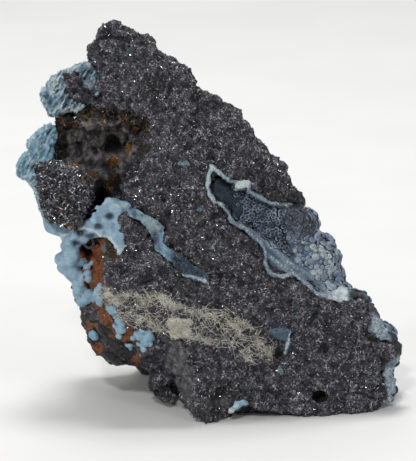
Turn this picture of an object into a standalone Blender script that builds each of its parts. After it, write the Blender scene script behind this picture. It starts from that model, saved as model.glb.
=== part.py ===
"""Shattuckite specimen: a dark broken host rock with blue crusts and a cream needle mat.

Points are written as they look in the front picture: millimetres across (right of the front
foot), millimetres up and millimetres deep (behind the nearest point of the front face).
`sight` turns them into the specimen's own frame, where +Z is up and it stands on z = 0.
"""

import math
import random

import bmesh
import bpy
from mathutils import Matrix, Vector, noise

MM = 0.001

# The direction the front picture is seen from
VIEW_TILT = math.radians(14.0)
VIEW_DISTANCE = 550.0
VIEW_HEIGHT = 39.5

# Middle of the specimen's box, so that the frame's origin is the bottom centre
CENTRE_ACROSS = 0.3
CENTRE_BACK = 25.8

# Shape of the front face
FACE_LEAN = 0.10
FACE_UNDERCUT = 0.09
FACE_WAIST = 17.0
FACE_TURN = 0.25
FACE_TURN_SOFT = 10.0
FACE_BAND = 2.0
SLAB_THICKNESS = 14.0

# Broken relief: height on the front face, elsewhere and on the crusts, and the size of its parts
FACE_RELIEF = 0.7
ROCK_RELIEF = 2.0
CRUST_RELIEF = 0.7
CHIP_SIZE = 7.0
CRUST_CHIP_SIZE = 3.0

# Pocket on the right: its floor rises towards the edge above the given height
POCKET_DEPTH = 5.4
POCKET_DEEP_TO = 11.0
POCKET_RISE = 0.42
POCKET_RISE_FROM = 37.0

# Room between two nodes that touch, and between the crusts and the ground
GAP = 0.35
CRUST_LIFT = 1.5

# Fineness of the skins, in millimetres, and their share of faces
ROCK_VOXEL = 0.7
CRUST_VOXEL = 0.4
SMALL_VOXEL = 0.2
ROCK_FACES = 4100
RIGHT_FACES = 2600
LEFT_FACES = 1750
UPPER_FACES = 420
MAT_FACES = 320
SMALL_FACES = 80
FACES_BEFORE_CUT = 2.0

# How far above the rock a ball's centre sits, in radii, and a distance well clear of the rock
BALL_SITS = 0.55
CLEAR = 120.0


def sight(across, up, depth):
    """Place a point given as it looks in the front picture."""
    widen = 1.0 + depth / VIEW_DISTANCE
    rise = VIEW_HEIGHT + (up - VIEW_HEIGHT) * widen
    x = across * widen - CENTRE_ACROSS
    y = rise * math.sin(VIEW_TILT) + depth * math.cos(VIEW_TILT) - CENTRE_BACK
    z = rise * math.cos(VIEW_TILT) - depth * math.sin(VIEW_TILT)
    return Vector((x, y, z)) * MM


def picture(place):
    """The reverse of `sight`: across, up and depth of a place on the specimen."""
    x, y, z = place / MM
    y += CENTRE_BACK
    depth = y * math.cos(VIEW_TILT) - z * math.sin(VIEW_TILT)
    rise = y * math.sin(VIEW_TILT) + z * math.cos(VIEW_TILT)
    widen = 1.0 + depth / VIEW_DISTANCE
    return (x + CENTRE_ACROSS) / widen, VIEW_HEIGHT + (rise - VIEW_HEIGHT) / widen, depth


def face_depth(across, up):
    """Depth of the front face: it leans back above its waist and turns away to the right."""
    if up > FACE_WAIST:
        lean = FACE_LEAN * (up - FACE_WAIST)
    else:
        lean = FACE_UNDERCUT * (FACE_WAIST - up)
    turn = FACE_TURN * (across + math.hypot(across, FACE_TURN_SOFT)) / 2
    return lean + turn


def behind_face(distance):
    """Depth function of a surface that lies `distance` behind the front face."""
    return lambda across, up: face_depth(across, up) + distance


def level(depth, slope=0.0):
    """Depth function of a flat surface that gets deeper to the left by `slope`."""
    return lambda across, up: depth - slope * across


def clear_scene():
    for thing in list(bpy.data.objects):
        bpy.data.objects.remove(thing, do_unlink=True)


def collection(name):
    group = bpy.data.collections.new(name)
    bpy.context.scene.collection.children.link(group)
    return group


def material(name, colour, roughness):
    made = bpy.data.materials.new(name)
    made.use_nodes = True
    shader = made.node_tree.nodes["Principled BSDF"]
    shader.inputs["Base Color"].default_value = (*colour, 1.0)
    shader.inputs["Roughness"].default_value = roughness
    made.diffuse_color = (*colour, 1.0)
    return made


def from_bmesh(name, mesh, group):
    data = bpy.data.meshes.new(name)
    mesh.to_mesh(data)
    mesh.free()
    made = bpy.data.objects.new(name, data)
    group.objects.link(made)
    return made


def apply_modifiers(target):
    """Replace the object's mesh with what its modifiers make of it."""
    bpy.context.view_layer.update()
    graph = bpy.context.evaluated_depsgraph_get()
    solid = bpy.data.meshes.new_from_object(target.evaluated_get(graph))
    target.modifiers.clear()
    old = target.data
    target.data = solid
    bpy.data.meshes.remove(old)


def hull(name, corners, group):
    """Convex block on the given picture points."""
    mesh = bmesh.new()
    for corner in corners:
        mesh.verts.new(sight(*corner))
    bmesh.ops.convex_hull(mesh, input=mesh.verts)
    loose = [v for v in mesh.verts if not v.link_faces]
    bmesh.ops.delete(mesh, geom=loose, context="VERTS")
    bmesh.ops.recalc_face_normals(mesh, faces=mesh.faces)
    return from_bmesh(name, mesh, group)


def plate(name, outline, front, back, group, shrink=1.0, middle=(0.0, 0.0)):
    """Extruded outline between two depth functions; its back is `shrink` times as large."""
    mesh = bmesh.new()
    ring = [mesh.verts.new((across, up, 0.0)) for across, up in outline]
    face = mesh.faces.new(ring)
    grown = bmesh.ops.extrude_face_region(mesh, geom=[face])["geom"]
    rear = {v for v in grown if isinstance(v, bmesh.types.BMVert)}
    for v in mesh.verts:
        across, up = v.co.x, v.co.y
        if v in rear:
            depth = back(across, up)
            across = middle[0] + (across - middle[0]) * shrink
            up = middle[1] + (up - middle[1]) * shrink
        else:
            depth = front(across, up)
        v.co = sight(across, up, depth)
    bmesh.ops.triangulate(mesh, faces=mesh.faces)
    bmesh.ops.recalc_face_normals(mesh, faces=mesh.faces)
    return from_bmesh(name, mesh, group)


def ball(name, centre, radii, group, turn=0.0):
    """Ellipsoid: radii across, up and deep in millimetres, turned in the picture plane."""
    mesh = bmesh.new()
    bmesh.ops.create_icosphere(mesh, subdivisions=2, radius=MM)
    size = Matrix.Diagonal((radii[0], radii[2], radii[1], 1.0))
    spin = Matrix.Rotation(-math.radians(turn), 4, "Y")
    lean = Matrix.Rotation(-VIEW_TILT, 4, "X")
    mesh.transform(Matrix.Translation(sight(*centre)) @ lean @ spin @ size)
    return from_bmesh(name, mesh, group)


def join(name, pieces, group):
    """One object from the meshes of several; they may overlap."""
    mesh = bmesh.new()
    for piece in pieces:
        mesh.from_mesh(piece.data)
        bpy.data.objects.remove(piece, do_unlink=True)
    return from_bmesh(name, mesh, group)


def fuse(target, voxel):
    """Melt overlapping pieces into one closed skin."""
    remesh = target.modifiers.new("fuse", "REMESH")
    remesh.mode = "VOXEL"
    remesh.voxel_size = voxel * MM
    apply_modifiers(target)


def roughen(target, height_at, chip_size):
    """Chip the skin: flat chips with steps between them and some noise, along the normals."""
    moved = []
    for v in target.data.vertices:
        place = v.co / (chip_size * MM)
        near, far = noise.voronoi(place)[0][:2]
        wave = min(far - near, 0.5) - 0.2 + 0.5 * noise.fractal(place * 1.8, 1.0, 2.0, 3)
        moved.append(v.co + v.normal * wave * height_at(v.co) * MM)
    for v, place in zip(target.data.vertices, moved):
        v.co = place


def thin_out(target, faces):
    """Collapse the skin to about the given number of triangles."""
    count = sum(len(p.vertices) - 2 for p in target.data.polygons)
    decimate = target.modifiers.new("thin", "DECIMATE")
    decimate.ratio = min(1.0, faces / count)
    decimate.use_collapse_triangulate = True
    apply_modifiers(target)


def cut(target, cutter, tangled=False):
    """Take the cutter's space out of the target."""
    boolean = target.modifiers.new("cut", "BOOLEAN")
    boolean.operation = "DIFFERENCE"
    boolean.solver = "EXACT"
    boolean.use_self = tangled
    boolean.object = cutter
    cutter.hide_render = True
    cutter.display_type = "WIRE"
    apply_modifiers(target)


def keep_largest(target):
    """Drop crumbs that a cut leaves loose: keep the most faces that meet along edges."""
    mesh = bmesh.new()
    mesh.from_mesh(target.data)
    left = set(mesh.faces)
    pieces = []
    while left:
        piece = [left.pop()]
        for face in piece:
            for edge in face.edges:
                for other in edge.link_faces:
                    if other in left:
                        left.remove(other)
                        piece.append(other)
        pieces.append(piece)
    pieces.sort(key=len, reverse=True)
    for piece in pieces[1:]:
        bmesh.ops.delete(mesh, geom=piece, context="FACES")
    mesh.to_mesh(target.data)
    mesh.free()


def inside(outline, across, up):
    """Whether a picture point lies within an outline."""
    within = False
    for (a1, u1), (a2, u2) in zip(outline, outline[1:] + outline[:1]):
        if (u1 > up) != (u2 > up) and across < a1 + (a2 - a1) * (up - u1) / (u2 - u1):
            within = not within
    return within


def first_hit(rock, start, end):
    """Picture point at which the line between two picture points meets the rock, or None."""
    start, end = sight(*start), sight(*end)
    hit, place, _, _ = rock.ray_cast(start, (end - start).normalized())
    return picture(place) if hit else None


# The host rock

SLAB_OUTLINE = [
    (-20.9, 81.4), (-16.9, 81.4), (-13.6, 79.0), (-9.2, 75.6), (-5.0, 72.8), (-3.6, 71.2),
    (-1.4, 67.8), (0.4, 66.8), (2.4, 66.2), (5.0, 64.2), (7.2, 61.0), (11.4, 56.6), (15.6, 52.0),
    (16.4, 49.8), (18.4, 47.0), (19.6, 44.0), (20.0, 42.6), (21.6, 39.2), (21.0, 34.0),
    (21.4, 27.2), (26.4, 25.6), (30.4, 25.6), (32.4, 24.2), (33.0, 22.0), (31.6, 21.4),
    (32.2, 18.6), (34.4, 17.6), (36.8, 17.0), (37.8, 15.6), (37.6, 14.2), (36.0, 13.2),
    (34.4, 12.0), (35.0, 10.0), (35.8, 8.0), (36.0, 6.0), (35.0, 4.4), (32.2, 2.6), (27.4, 1.6),
    (21.4, 1.8), (16.4, 3.0), (10.4, 3.4), (7.4, 4.4), (4.4, 2.4), (1.2, 0.8), (-0.4, 0.0),
    (-2.4, 2.0), (-3.6, 8.6), (-5.0, 14.6), (-6.4, 18.0), (-8.6, 19.6), (-13.6, 20.2),
    (-17.6, 22.4), (-20.0, 25.6), (-21.0, 30.5), (-20.2, 33.5), (-18.2, 34.8), (-18.2, 38.0),
    (-18.6, 42.4), (-15.0, 45.0), (-16.4, 46.4), (-17.6, 48.0), (-17.4, 50.0), (-15.0, 55.2),
    (-13.6, 58.8), (-12.0, 60.2), (-14.0, 62.6), (-18.0, 63.2), (-20.2, 65.4), (-21.6, 68.0),
    (-22.0, 73.1), (-24.2, 74.2), (-24.0, 76.0), (-22.4, 78.8),
]

ROCK_BLOCKS = {
    "back": [
        (-19, 77, 13), (-9, 73, 15), (0, 64, 18), (10, 54, 21), (17, 44, 23), (20, 30, 26),
        (30, 23, 24), (34, 15, 22), (33, 7, 16), (32, 9, 26), (26, 8, 30), (16, 24, 36),
        (-6, 57, 24), (-14, 30, 30), (10, 11, 38), (20, 10, 38), (-20, 66, 12),
        (-16, 50, 10), (-16, 24, 6), (-3, 6, 8), (0, 2, 8), (28, 3, 14), (-10, 10, 30),
    ],
    "back ridge": [
        (-8, 55, 33), (-14, 60, 27), (3, 44, 39), (-3, 36, 41), (-20, 45, 35), (-18, 52, 32),
        (6, 50, 28), (-16, 30, 38), (-6, 24, 42), (8, 30, 36), (-20, 30, 28), (0, 20, 20),
    ],
    "back foot": [
        (-12, 11, 42), (8, 11, 45), (14, 12, 42), (10, 22, 41), (-8, 20, 42), (-17, 20, 34),
        (-15, 12, 33), (-14, 14, 18), (12, 10, 20), (0, 26, 30), (-11, 29, 37), (4, 28, 38),
    ],
    "left side": [
        (-29, 67, 18), (-21, 71, 17), (-31, 60, 18), (-30, 52, 14), (-30, 41, 15), (-25.5, 36, 13),
        (-25, 28, 13), (-25.6, 21, 15), (-22, 14.5, 15), (-15, 12.5, 13), (-12, 30, 8),
        (-14, 44, 8), (-15, 60, 12), (-26, 60, 30), (-27, 40, 34), (-24, 24, 34), (-14, 14, 36),
        (-10, 60, 30),
    ],
    "flank": [
        (-18.2, 42, 2), (-20.6, 30, 1), (-20, 25.6, 0.6), (-13.6, 20.4, 0.4), (-8, 19.4, 1),
        (-23.4, 38, 9), (-24.6, 28, 11), (-25.4, 21, 14), (-21, 14.2, 14), (-14, 11.5, 12),
        (-11, 12, 8), (-7, 14, 6), (-8, 30, 10), (-10, 20, 20),
    ],
    "lower block": [
        (-6.4, 18, 0.8), (-0.4, 0, 1.6), (-8, 18, 6), (-5.6, 5, 10), (-7, 10, 8), (4, 3, 6),
        (2, 8, 16), (4, 20, 6),
    ],
    "lump": [
        (-12.3, 8.5, 10), (-11.8, 11.5, 9), (-8.4, 12.5, 9), (-7.2, 7, 9), (-7.8, 4.4, 11),
        (-9.8, 5.4, 11), (-12, 9, 20), (-7, 6, 20), (-8, 14, 20),
    ],
    "ledge": [
        (-30.6, 62.4, 13), (-22, 63, 10), (-14, 63, 6), (-13, 60.5, 6), (-30.4, 60.2, 13),
        (-31, 61.4, 14), (-20, 60, 10), (-30, 62, 20), (-14, 62, 20),
    ],
    "window": [
        (-29.4, 71, 11.2), (-25.7, 71.3, 11), (-25.4, 68.6, 10.8), (-25.8, 66.4, 10.8),
        (-27.8, 66.2, 11.2), (-28.8, 68.4, 11.4), (-29.2, 70.8, 13.2), (-25.9, 71, 13.2),
        (-26, 66.6, 13.2), (-27.8, 66.4, 13.2),
    ],
    "ridge": [
        (-26.4, 67.4, 10.8), (-24, 67.4, 10.6), (-21, 65.4, 9.6), (-18.5, 63.4, 8),
        (-20, 62.0, 9), (-23.5, 63.8, 10.4), (-26, 66.4, 13.2), (-24, 67.2, 13.2), (-18.5, 63.4, 17),
        (-21.5, 62.4, 17),
    ],
}

LOBE = [
    (-35.6, 53.4, 8), (-33.6, 53.4, 7), (-28, 53.0, 5), (-24, 50.6, 4.5), (-22.5, 47.6, 4.5),
    (-23.2, 42.3, 5), (-25.6, 40.2, 5.5), (-31.7, 40.3, 7), (-33.3, 45, 8), (-34.6, 49.5, 8.2),
    (-35, 52.6, 10), (-26, 52, 18), (-24, 44, 18), (-31, 41.5, 10), (-28, 42, 18), (-29, 52, 18),
]

POCKET_OUTLINE = [
    (0.8, 52.2), (2.4, 50.8), (4.4, 49.4), (8.0, 49.0), (8.2, 47.6), (10.8, 45.8), (14.4, 44.8),
    (18.2, 44.8), (19.2, 42.4), (20.8, 39.2), (36.0, 38.6), (36.0, 27.6), (30.4, 26.2),
    (26.4, 26.0), (23.4, 26.8), (21.4, 27.6), (18.4, 30.0), (17.0, 31.2), (15.0, 30.6),
    (13.0, 30.8), (11.6, 32.8), (11.8, 35.2), (9.2, 38.6), (7.4, 40.2), (4.6, 41.8), (4.0, 43.4),
    (1.2, 45.6), (0.2, 48.2),
]

VEIN_OUTLINE = [
    (-20.0, 45.9), (-17.6, 45.2), (-15.6, 45.3), (-13.4, 43.7), (-11.6, 42.6), (-9.8, 42.7),
    (-8.1, 40.6), (-8.8, 38.0), (-8.6, 36.9), (-7.8, 36.0), (-4.9, 35.0), (-2.7, 32.7),
    (-0.4, 31.8), (0.6, 28.6), (-1.0, 29.0), (-5.9, 30.0), (-8.3, 33.5), (-11.0, 35.4),
    (-12.0, 38.4), (-12.5, 39.8), (-15.8, 41.8), (-16.8, 43.0), (-18.4, 42.0), (-21.2, 43.4),
]

MAT_OUTLINE = [
    (-20.8, 28.2), (-18.0, 27.6), (-11.6, 27.4), (-8.6, 26.8), (-7.2, 25.0), (-4.6, 24.4),
    (1.4, 23.0), (5.0, 23.0), (9.4, 20.0), (12.2, 17.6), (12.6, 15.6), (12.2, 14.0), (8.8, 13.4),
    (5.4, 15.6), (-1.6, 17.6), (-5.2, 18.2), (-8.6, 20.2), (-13.6, 20.8), (-17.0, 22.9),
    (-19.4, 26.0),
]

# Hollows: centre, radii across, up and deep, and turn in the picture plane
HOLLOWS = {
    "cavity": ((-20.5, 54.0, 8.0), (8.2, 6.8, 9.5), -20.0),
    "cavity roof": ((-19.0, 58.4, 8.5), (6.4, 2.8, 6.0), 0.0),
    "cavity left": ((-27.4, 57.4, 9.0), (4.2, 3.6, 8.0), 0.0),
    "dark hole": ((-29.8, 56.2, 14.0), (1.9, 1.8, 6.0), 0.0),
    "olive hollow": ((-19.4, 36.4, 2.0), (1.7, 1.9, 3.2), 0.0),
    "rust hollow": ((-22.6, 35.0, 6.4), (1.5, 2.2, 2.4), 0.0),
    "vug": ((14.4, 17.0, 3.6), (1.7, 2.7, 4.0), 0.0),
    "pit": ((22.4, 6.4, 7.4), (1.6, 1.0, 1.8), 0.0),
    "top cavity": ((-16.4, 76.0, 6.0), (1.3, 1.0, 1.4), 20.0),
    "top pit": ((-10.6, 73.0, 5.9), (0.6, 1.1, 1.2), 0.0),
    "under mat": ((-2.6, 16.8, 0.6), (4.2, 0.8, 2.2), 12.0),
    "lump cleft": ((-6.5, 6.8, 9.0), (0.7, 3.4, 5.0), 12.0),
}

# Hollows that are cut after the lobe is added
LOBE_GAP = ((-21.5, 46.2, 9.0), (1.7, 5.0, 12.0), -8.0)
LOBE_CLEFT = ((-22.6, 42.6, 10.0), (1.4, 1.4, 9.0), 0.0)


def rock_relief(place):
    """Height of the rock's relief: low on the flat front face."""
    across, up, depth = picture(place)
    return FACE_RELIEF if abs(depth - face_depth(across, up)) < FACE_BAND else ROCK_RELIEF


def floor_below(height, cutters):
    """Box that ends level at the given height, to cut things off above the ground."""
    mesh = bmesh.new()
    bmesh.ops.create_cube(mesh, size=2 * CLEAR * MM)
    mesh.transform(Matrix.Translation((0.0, 0.0, (height - CLEAR) * MM)))
    return from_bmesh("floor", mesh, cutters)


def pocket_depth(above=0.0):
    """Depth function of the pocket's floor, or of a surface `above` it: it rises to the right."""
    def depth(across, up):
        rise = POCKET_RISE * max(0.0, across - POCKET_DEEP_TO) if up > POCKET_RISE_FROM else 0.0
        return face_depth(across, up) + POCKET_DEPTH - min(rise, POCKET_DEPTH - 1.8) - above
    return depth


def build_matrix(group, cutters):
    slab = plate("slab", SLAB_OUTLINE, face_depth, behind_face(SLAB_THICKNESS), group, 0.94, (0, 36))
    blocks = [slab] + [hull(name, corners, group) for name, corners in ROCK_BLOCKS.items()]
    rock = join("matrix", blocks, group)
    fuse(rock, ROCK_VOXEL)
    for name, (centre, radii, turn) in HOLLOWS.items():
        cut(rock, ball(name, centre, radii, cutters, turn))
    pocket = plate("pocket", POCKET_OUTLINE, level(-6.0), pocket_depth(), cutters)
    cut(rock, pocket)
    groove = plate("groove", VEIN_OUTLINE, level(-6.0), behind_face(2.2), cutters)
    cut(rock, groove)
    bed = plate("mat bed", MAT_OUTLINE, level(-6.0), behind_face(0.5), cutters)
    cut(rock, bed)
    core = ball("bulge core", (20.2, 33.0, 16.0), (4.0, 5.4, 6.0), group)
    rock = join("matrix", [rock, hull("lobe", LOBE, group), core], group)
    fuse(rock, ROCK_VOXEL)
    for name, (centre, radii, turn) in (("lobe gap", LOBE_GAP), ("lobe cleft", LOBE_CLEFT)):
        cut(rock, ball(name, centre, radii, cutters, turn))
    fuse(rock, ROCK_VOXEL)
    roughen(rock, rock_relief, CHIP_SIZE)
    thin_out(rock, ROCK_FACES)
    cut(rock, floor_below(0.0, cutters))
    keep_largest(rock)
    return rock


# The crusts

FOLD_OUTLINE = [
    (6.4, 41.6), (10.8, 38.0), (13.4, 36.0), (16.4, 33.6), (19.4, 31.4), (22.8, 29.6),
    (23.6, 26.6), (21.4, 26.8), (18.2, 29.4), (17.0, 30.6), (15.0, 30.0), (12.6, 30.2),
    (11.0, 32.8), (11.0, 35.0), (8.6, 38.0), (6.4, 40.0),
]

LINING_OUTLINE = [
    (0.2, 52.8), (2.4, 51.4), (4.4, 50.2), (8.4, 49.8), (9.0, 48.0), (11.0, 46.6), (14.4, 45.6),
    (18.4, 45.4), (19.8, 42.6), (21.4, 39.4), (20.6, 36.0), (21.0, 31.0), (24.0, 28.0),
    (30.6, 26.8), (30.4, 25.0), (26.4, 24.8), (22.8, 25.8), (20.6, 26.8), (17.8, 28.8), (16.8, 30.0),
    (15.0, 29.6), (12.4, 29.8), (10.6, 32.6), (10.8, 34.8), (8.6, 37.4), (6.8, 39.2),
    (3.6, 40.6), (3.2, 42.8), (0.6, 44.6), (-0.8, 48.2),
]

# Across, up, depth behind the face and radius of the balls in a row
SHOULDER_BALLS = [
    (22.0, 28.2, 3.0, 1.3), (23.8, 27.2, 2.8, 1.2), (25.6, 26.5, 2.6, 1.2), (27.2, 26.4, 2.4, 1.1),
    (28.8, 26.2, 2.4, 1.0), (30.2, 25.8, 3.2, 0.9), (31.4, 24.6, 4.2, 1.1), (32.4, 23.2, 3.6, 1.1),
    (33.1, 21.6, 3.0, 1.3), (33.4, 20.1, 2.6, 1.4), (34.6, 18.8, 2.8, 1.2), (36.1, 17.7, 3.0, 1.0),
    (37.4, 16.5, 3.4, 0.9), (37.9, 15.1, 3.4, 0.8), (37.2, 13.7, 3.4, 0.8), (35.9, 12.5, 3.2, 1.0),
    (35.7, 10.9, 2.8, 1.1), (36.2, 9.2, 2.8, 1.1), (36.3, 7.6, 2.8, 1.0), (36.0, 6.2, 3.0, 0.9),
]

BULGE_BALLS = [
    (18.6, 36.8, 10.5, 1.6), (20.5, 37.9, 12.0, 1.6), (22.3, 37.2, 13.4, 1.6),
    (23.8, 35.8, 14.0, 1.6), (20.2, 35.4, 10.2, 1.7), (22.0, 35.0, 11.4, 1.6),
    (24.6, 33.6, 14.0, 1.5), (22.9, 33.0, 11.8, 1.7), (21.0, 32.6, 10.6, 1.7),
    (18.8, 33.8, 10.0, 1.6), (24.4, 31.6, 13.4, 1.5), (22.4, 30.8, 11.4, 1.6),
    (24.9, 29.3, 14.0, 1.5), (23.8, 28.6, 12.4, 1.3), (20.4, 30.6, 10.4, 1.4),
    (24.7, 33.8, 17.0, 1.7), (24.9, 30.6, 17.0, 1.7), (23.2, 36.6, 17.0, 1.9),
    (25.0, 28.6, 17.0, 1.5),
]

# Where balls cover the back, across and up, and the right side, deep and up
BACK_REGION = [(9, 48), (20, 41), (26, 28), (35, 20), (38, 10), (33, 7), (22, 9), (9, 20)]
RIGHT_REGION = [(10, 6), (10, 20), (8, 26), (10, 38), (22, 40), (32, 26), (32, 9)]

CURTAIN_OUTLINE = [
    (-28.6, 38.8), (-27.0, 40.2), (-25.6, 40.6), (-24.0, 41.4), (-22.2, 41.7), (-21.0, 42.4),
    (-21.0, 43.6), (-20.2, 45.4), (-19.4, 45.8), (-18.0, 44.9), (-16.8, 43.7), (-18.3, 42.4),
    (-18.5, 41.2), (-18.0, 39.6), (-17.2, 37.6), (-16.6, 36.4), (-17.2, 35.2), (-17.9, 35.0),
    (-18.5, 36.4), (-19.4, 37.7), (-20.8, 37.9), (-22.0, 38.5), (-23.6, 38.1), (-24.4, 37.0),
    (-26.0, 36.6), (-28.4, 37.0),
]

FRINGE_OUTLINE = [
    (-28.4, 38.6), (-31.2, 38.8), (-32.0, 39.4), (-32.8, 42.0), (-33.8, 46.2), (-34.8, 48.4),
    (-36.4, 50.4), (-38.0, 50.8), (-37.8, 52.2), (-37.4, 53.6), (-36.6, 54.6), (-35.4, 55.0),
    (-35.6, 57.0), (-34.4, 58.4), (-32.6, 60.0), (-31.0, 60.4), (-30.6, 58.6), (-31.4, 57.0),
    (-31.6, 54.4), (-31.0, 50.0), (-30.4, 44.0), (-28.6, 41.4), (-26.0, 40.4),
]

# Across, up, depth and radius of the long balls that hang on the rock's left edge
LEFT_MASS = [
    (-27.6, 37.9, 10.6, 1.5), (-26.0, 38.4, 9.8, 1.5), (-29.0, 33.8, 11.8, 1.4),
    (-27.3, 35.5, 10.8, 1.8), (-28.6, 32.1, 12.0, 1.3), (-26.2, 34.1, 10.4, 1.7),
    (-27.6, 33.2, 11.0, 1.6), (-27.0, 31.1, 11.6, 1.5), (-25.5, 30.9, 11.0, 1.5),
    (-25.4, 28.9, 11.6, 1.5), (-25.5, 27.1, 12.0, 1.4), (-25.0, 25.5, 12.4, 1.3),
    (-27.0, 36.4, 14.0, 1.9), (-26.6, 33.4, 14.6, 2.0), (-25.8, 30.4, 14.8, 1.9),
    (-25.5, 27.6, 15.0, 1.8),
]

# Across, up and radius of the balls that sit on the rock's flank
LEFT_BALLS = [
    (-24.2, 26.7, 1.5), (-25.2, 33.1, 1.3), (-24.4, 32.3, 1.3), (-23.8, 30.6, 1.5),
    (-24.6, 30.0, 1.5), (-23.3, 32.8, 1.0), (-23.0, 26.4, 1.4), (-21.8, 27.1, 1.6),
    (-21.3, 25.4, 1.4), (-21.5, 28.1, 1.1),
]

KNOBS = {
    "blue_knob_1": [(-19.1, 23.7, 1.0), (-20.1, 22.8, 0.9)],
    "blue_knob_2": [(-17.1, 20.9, 0.8), (-17.5, 19.8, 0.95), (-18.0, 21.6, 0.7)],
    "blue_knob_3": [(-22.6, 18.7, 1.1)],
    "blue_knob_4": [(-15.7, 17.0, 0.9)],
    "blue_knob_5": [(-13.7, 18.5, 0.95), (-11.9, 18.4, 1.0), (-12.5, 17.2, 0.95), (-13.3, 15.9, 0.9)],
}

UPPER_OUTLINE = [
    (-33.0, 67.4), (-31.8, 68.2), (-31.2, 69.2), (-30.0, 70.2), (-29.4, 71.2), (-26.4, 71.3),
    (-26.6, 72.0), (-25.6, 72.6), (-22.4, 73.0), (-20.5, 73.0), (-19.5, 67.0), (-19.4, 64.8),
    (-20.4, 65.2), (-20.8, 64.4), (-22.4, 62.8), (-24.2, 63.6), (-26.2, 62.8), (-27.4, 64.2),
    (-29.2, 63.2), (-30.6, 62.2), (-31.8, 63.8), (-32.8, 65.8),
]

VUG_OUTLINE = [
    (12.6, 19.4), (14.4, 20.4), (16.6, 19.6), (16.3, 18.2), (16.4, 16.4), (15.5, 14.6),
    (15.0, 15.6), (15.3, 17.4), (14.2, 18.1), (12.9, 18.2),
]

BASE_OUTLINE = [
    (4.0, 2.9), (5.2, 3.5), (7.6, 4.7), (8.6, 5.0), (7.4, 5.6), (5.6, 5.4), (4.2, 4.2),
]


def crust_relief(place):
    return CRUST_RELIEF


def swollen(rock, cutters):
    """Copy of the rock grown by the gap on every face, to fit the crusts against it."""
    mesh = bmesh.new()
    mesh.from_mesh(rock.data)
    mesh.normal_update()
    moved = []
    for v in mesh.verts:
        facing = sum(v.normal.dot(face.normal) for face in v.link_faces) / len(v.link_faces)
        moved.append(v.co + v.normal * GAP * MM / max(facing, 0.5))
    for v, place in zip(mesh.verts, moved):
        v.co = place
    return from_bmesh("swollen rock", mesh, cutters)


def scattered(outline, spacing, seed):
    """Points on a jittered grid inside an outline."""
    picks = random.Random(seed)
    left, right = min(a for a, _ in outline), max(a for a, _ in outline)
    low, high = min(u for _, u in outline), max(u for _, u in outline)
    for row in range(int((high - low) / spacing) + 1):
        for column in range(int((right - left) / spacing) + 1):
            across = left + (column + 0.5 * (row % 2) + picks.uniform(-0.3, 0.3)) * spacing
            up = low + (row + picks.uniform(-0.3, 0.3)) * spacing
            if inside(outline, across, up):
                yield across, up


def finish(target, faces, around, voxel=CRUST_VOXEL):
    """Take the room that the rock and the ground need out of a crust, and thin it out."""
    thin_out(target, faces * FACES_BEFORE_CUT)
    for other in around:
        cut(target, other, tangled=True)
    fuse(target, voxel)
    keep_largest(target)
    thin_out(target, faces)


def right_crust(group, rock, around):
    """Lining of the pocket, its bulge, the pale edge and the botryoidal back."""
    pieces = [
        plate("lining", LINING_OUTLINE, pocket_depth(1.5), pocket_depth(-1.0), group),
        plate("fold", FOLD_OUTLINE, behind_face(2.0), behind_face(5.0), group),
    ]
    picks = random.Random(3)
    for across, up in scattered(LINING_OUTLINE, 2.6, 5):
        radius = picks.uniform(0.9, 1.5)
        centre = (across, up, pocket_depth(1.1)(across, up))
        pieces.append(ball("botryoid", centre, (radius, radius, radius * 0.8), group))
    for across, up, behind, radius in SHOULDER_BALLS:
        centre = (across, up, face_depth(across, up) + behind)
        pieces.append(ball("botryoid", centre, (radius, radius, radius * 1.5), group))
    for across, up, depth, radius in BULGE_BALLS:
        pieces.append(ball("botryoid", (across, up, depth), (radius, radius, radius), group))
    for across, up in scattered(BACK_REGION, 3.4, 8):
        place = first_hit(rock, (across, up, CLEAR), (across, up, 0.0))
        if place:
            radius = picks.uniform(2.5, 3.3)
            centre = (across, up, place[2] - 0.5 * radius)
            pieces.append(ball("botryoid", centre, (radius, radius, radius), group))
    for depth, up in scattered(RIGHT_REGION, 2.7, 9):
        place = first_hit(rock, (CLEAR, up, depth), (0.0, up, depth))
        if place and depth > face_depth(place[0], up) + 4.5:
            radius = picks.uniform(2.0, 2.5)
            centre = (place[0] - 0.55 * radius, up, depth)
            pieces.append(ball("botryoid", centre, (radius, radius, radius), group))
    crust = join("right_botryoidal_crust", pieces, group)
    fuse(crust, CRUST_VOXEL)
    finish(crust, RIGHT_FACES, around)
    return crust


def sitting_balls(rows, rock, group):
    """Balls on the rock's surface, seen from the front."""
    made = []
    for across, up, radius in rows:
        depth = first_hit(rock, (across, up, -CLEAR), (across, up, 0.0))[2] - BALL_SITS * radius
        made.append(ball("botryoid", (across, up, depth), (radius,) * 3, group))
    return made


def left_crust(group, rock, around):
    """Blue sheet behind the lobe, the balls below it and the vein across the front."""
    pieces = [
        plate("fringe", FRINGE_OUTLINE, level(10.3), level(15.0), group, 0.97, (-28.0, 48.0)),
        plate("curtain", CURTAIN_OUTLINE, level(-11.0, 0.72), level(-9.0, 0.72), group),
        plate("vein", VEIN_OUTLINE, behind_face(0.6), behind_face(2.6), group),
    ]
    for across, up, depth, radius in LEFT_MASS:
        pieces.append(ball("botryoid", (across, up, depth), (radius, radius, radius * 1.6), group))
    pieces += sitting_balls(LEFT_BALLS, rock, group)
    crust = join("left_shattuckite_crust", pieces, group)
    fuse(crust, CRUST_VOXEL)
    roughen(crust, crust_relief, CRUST_CHIP_SIZE)
    finish(crust, LEFT_FACES, around)
    return crust


def thin_piece(name, outline, front, back, faces, group, around):
    """A crust that is one sheet between two depths."""
    piece = plate(name, outline, front, back, group)
    fuse(piece, CRUST_VOXEL)
    roughen(piece, crust_relief, CRUST_CHIP_SIZE)
    finish(piece, faces, around)
    return piece


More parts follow.
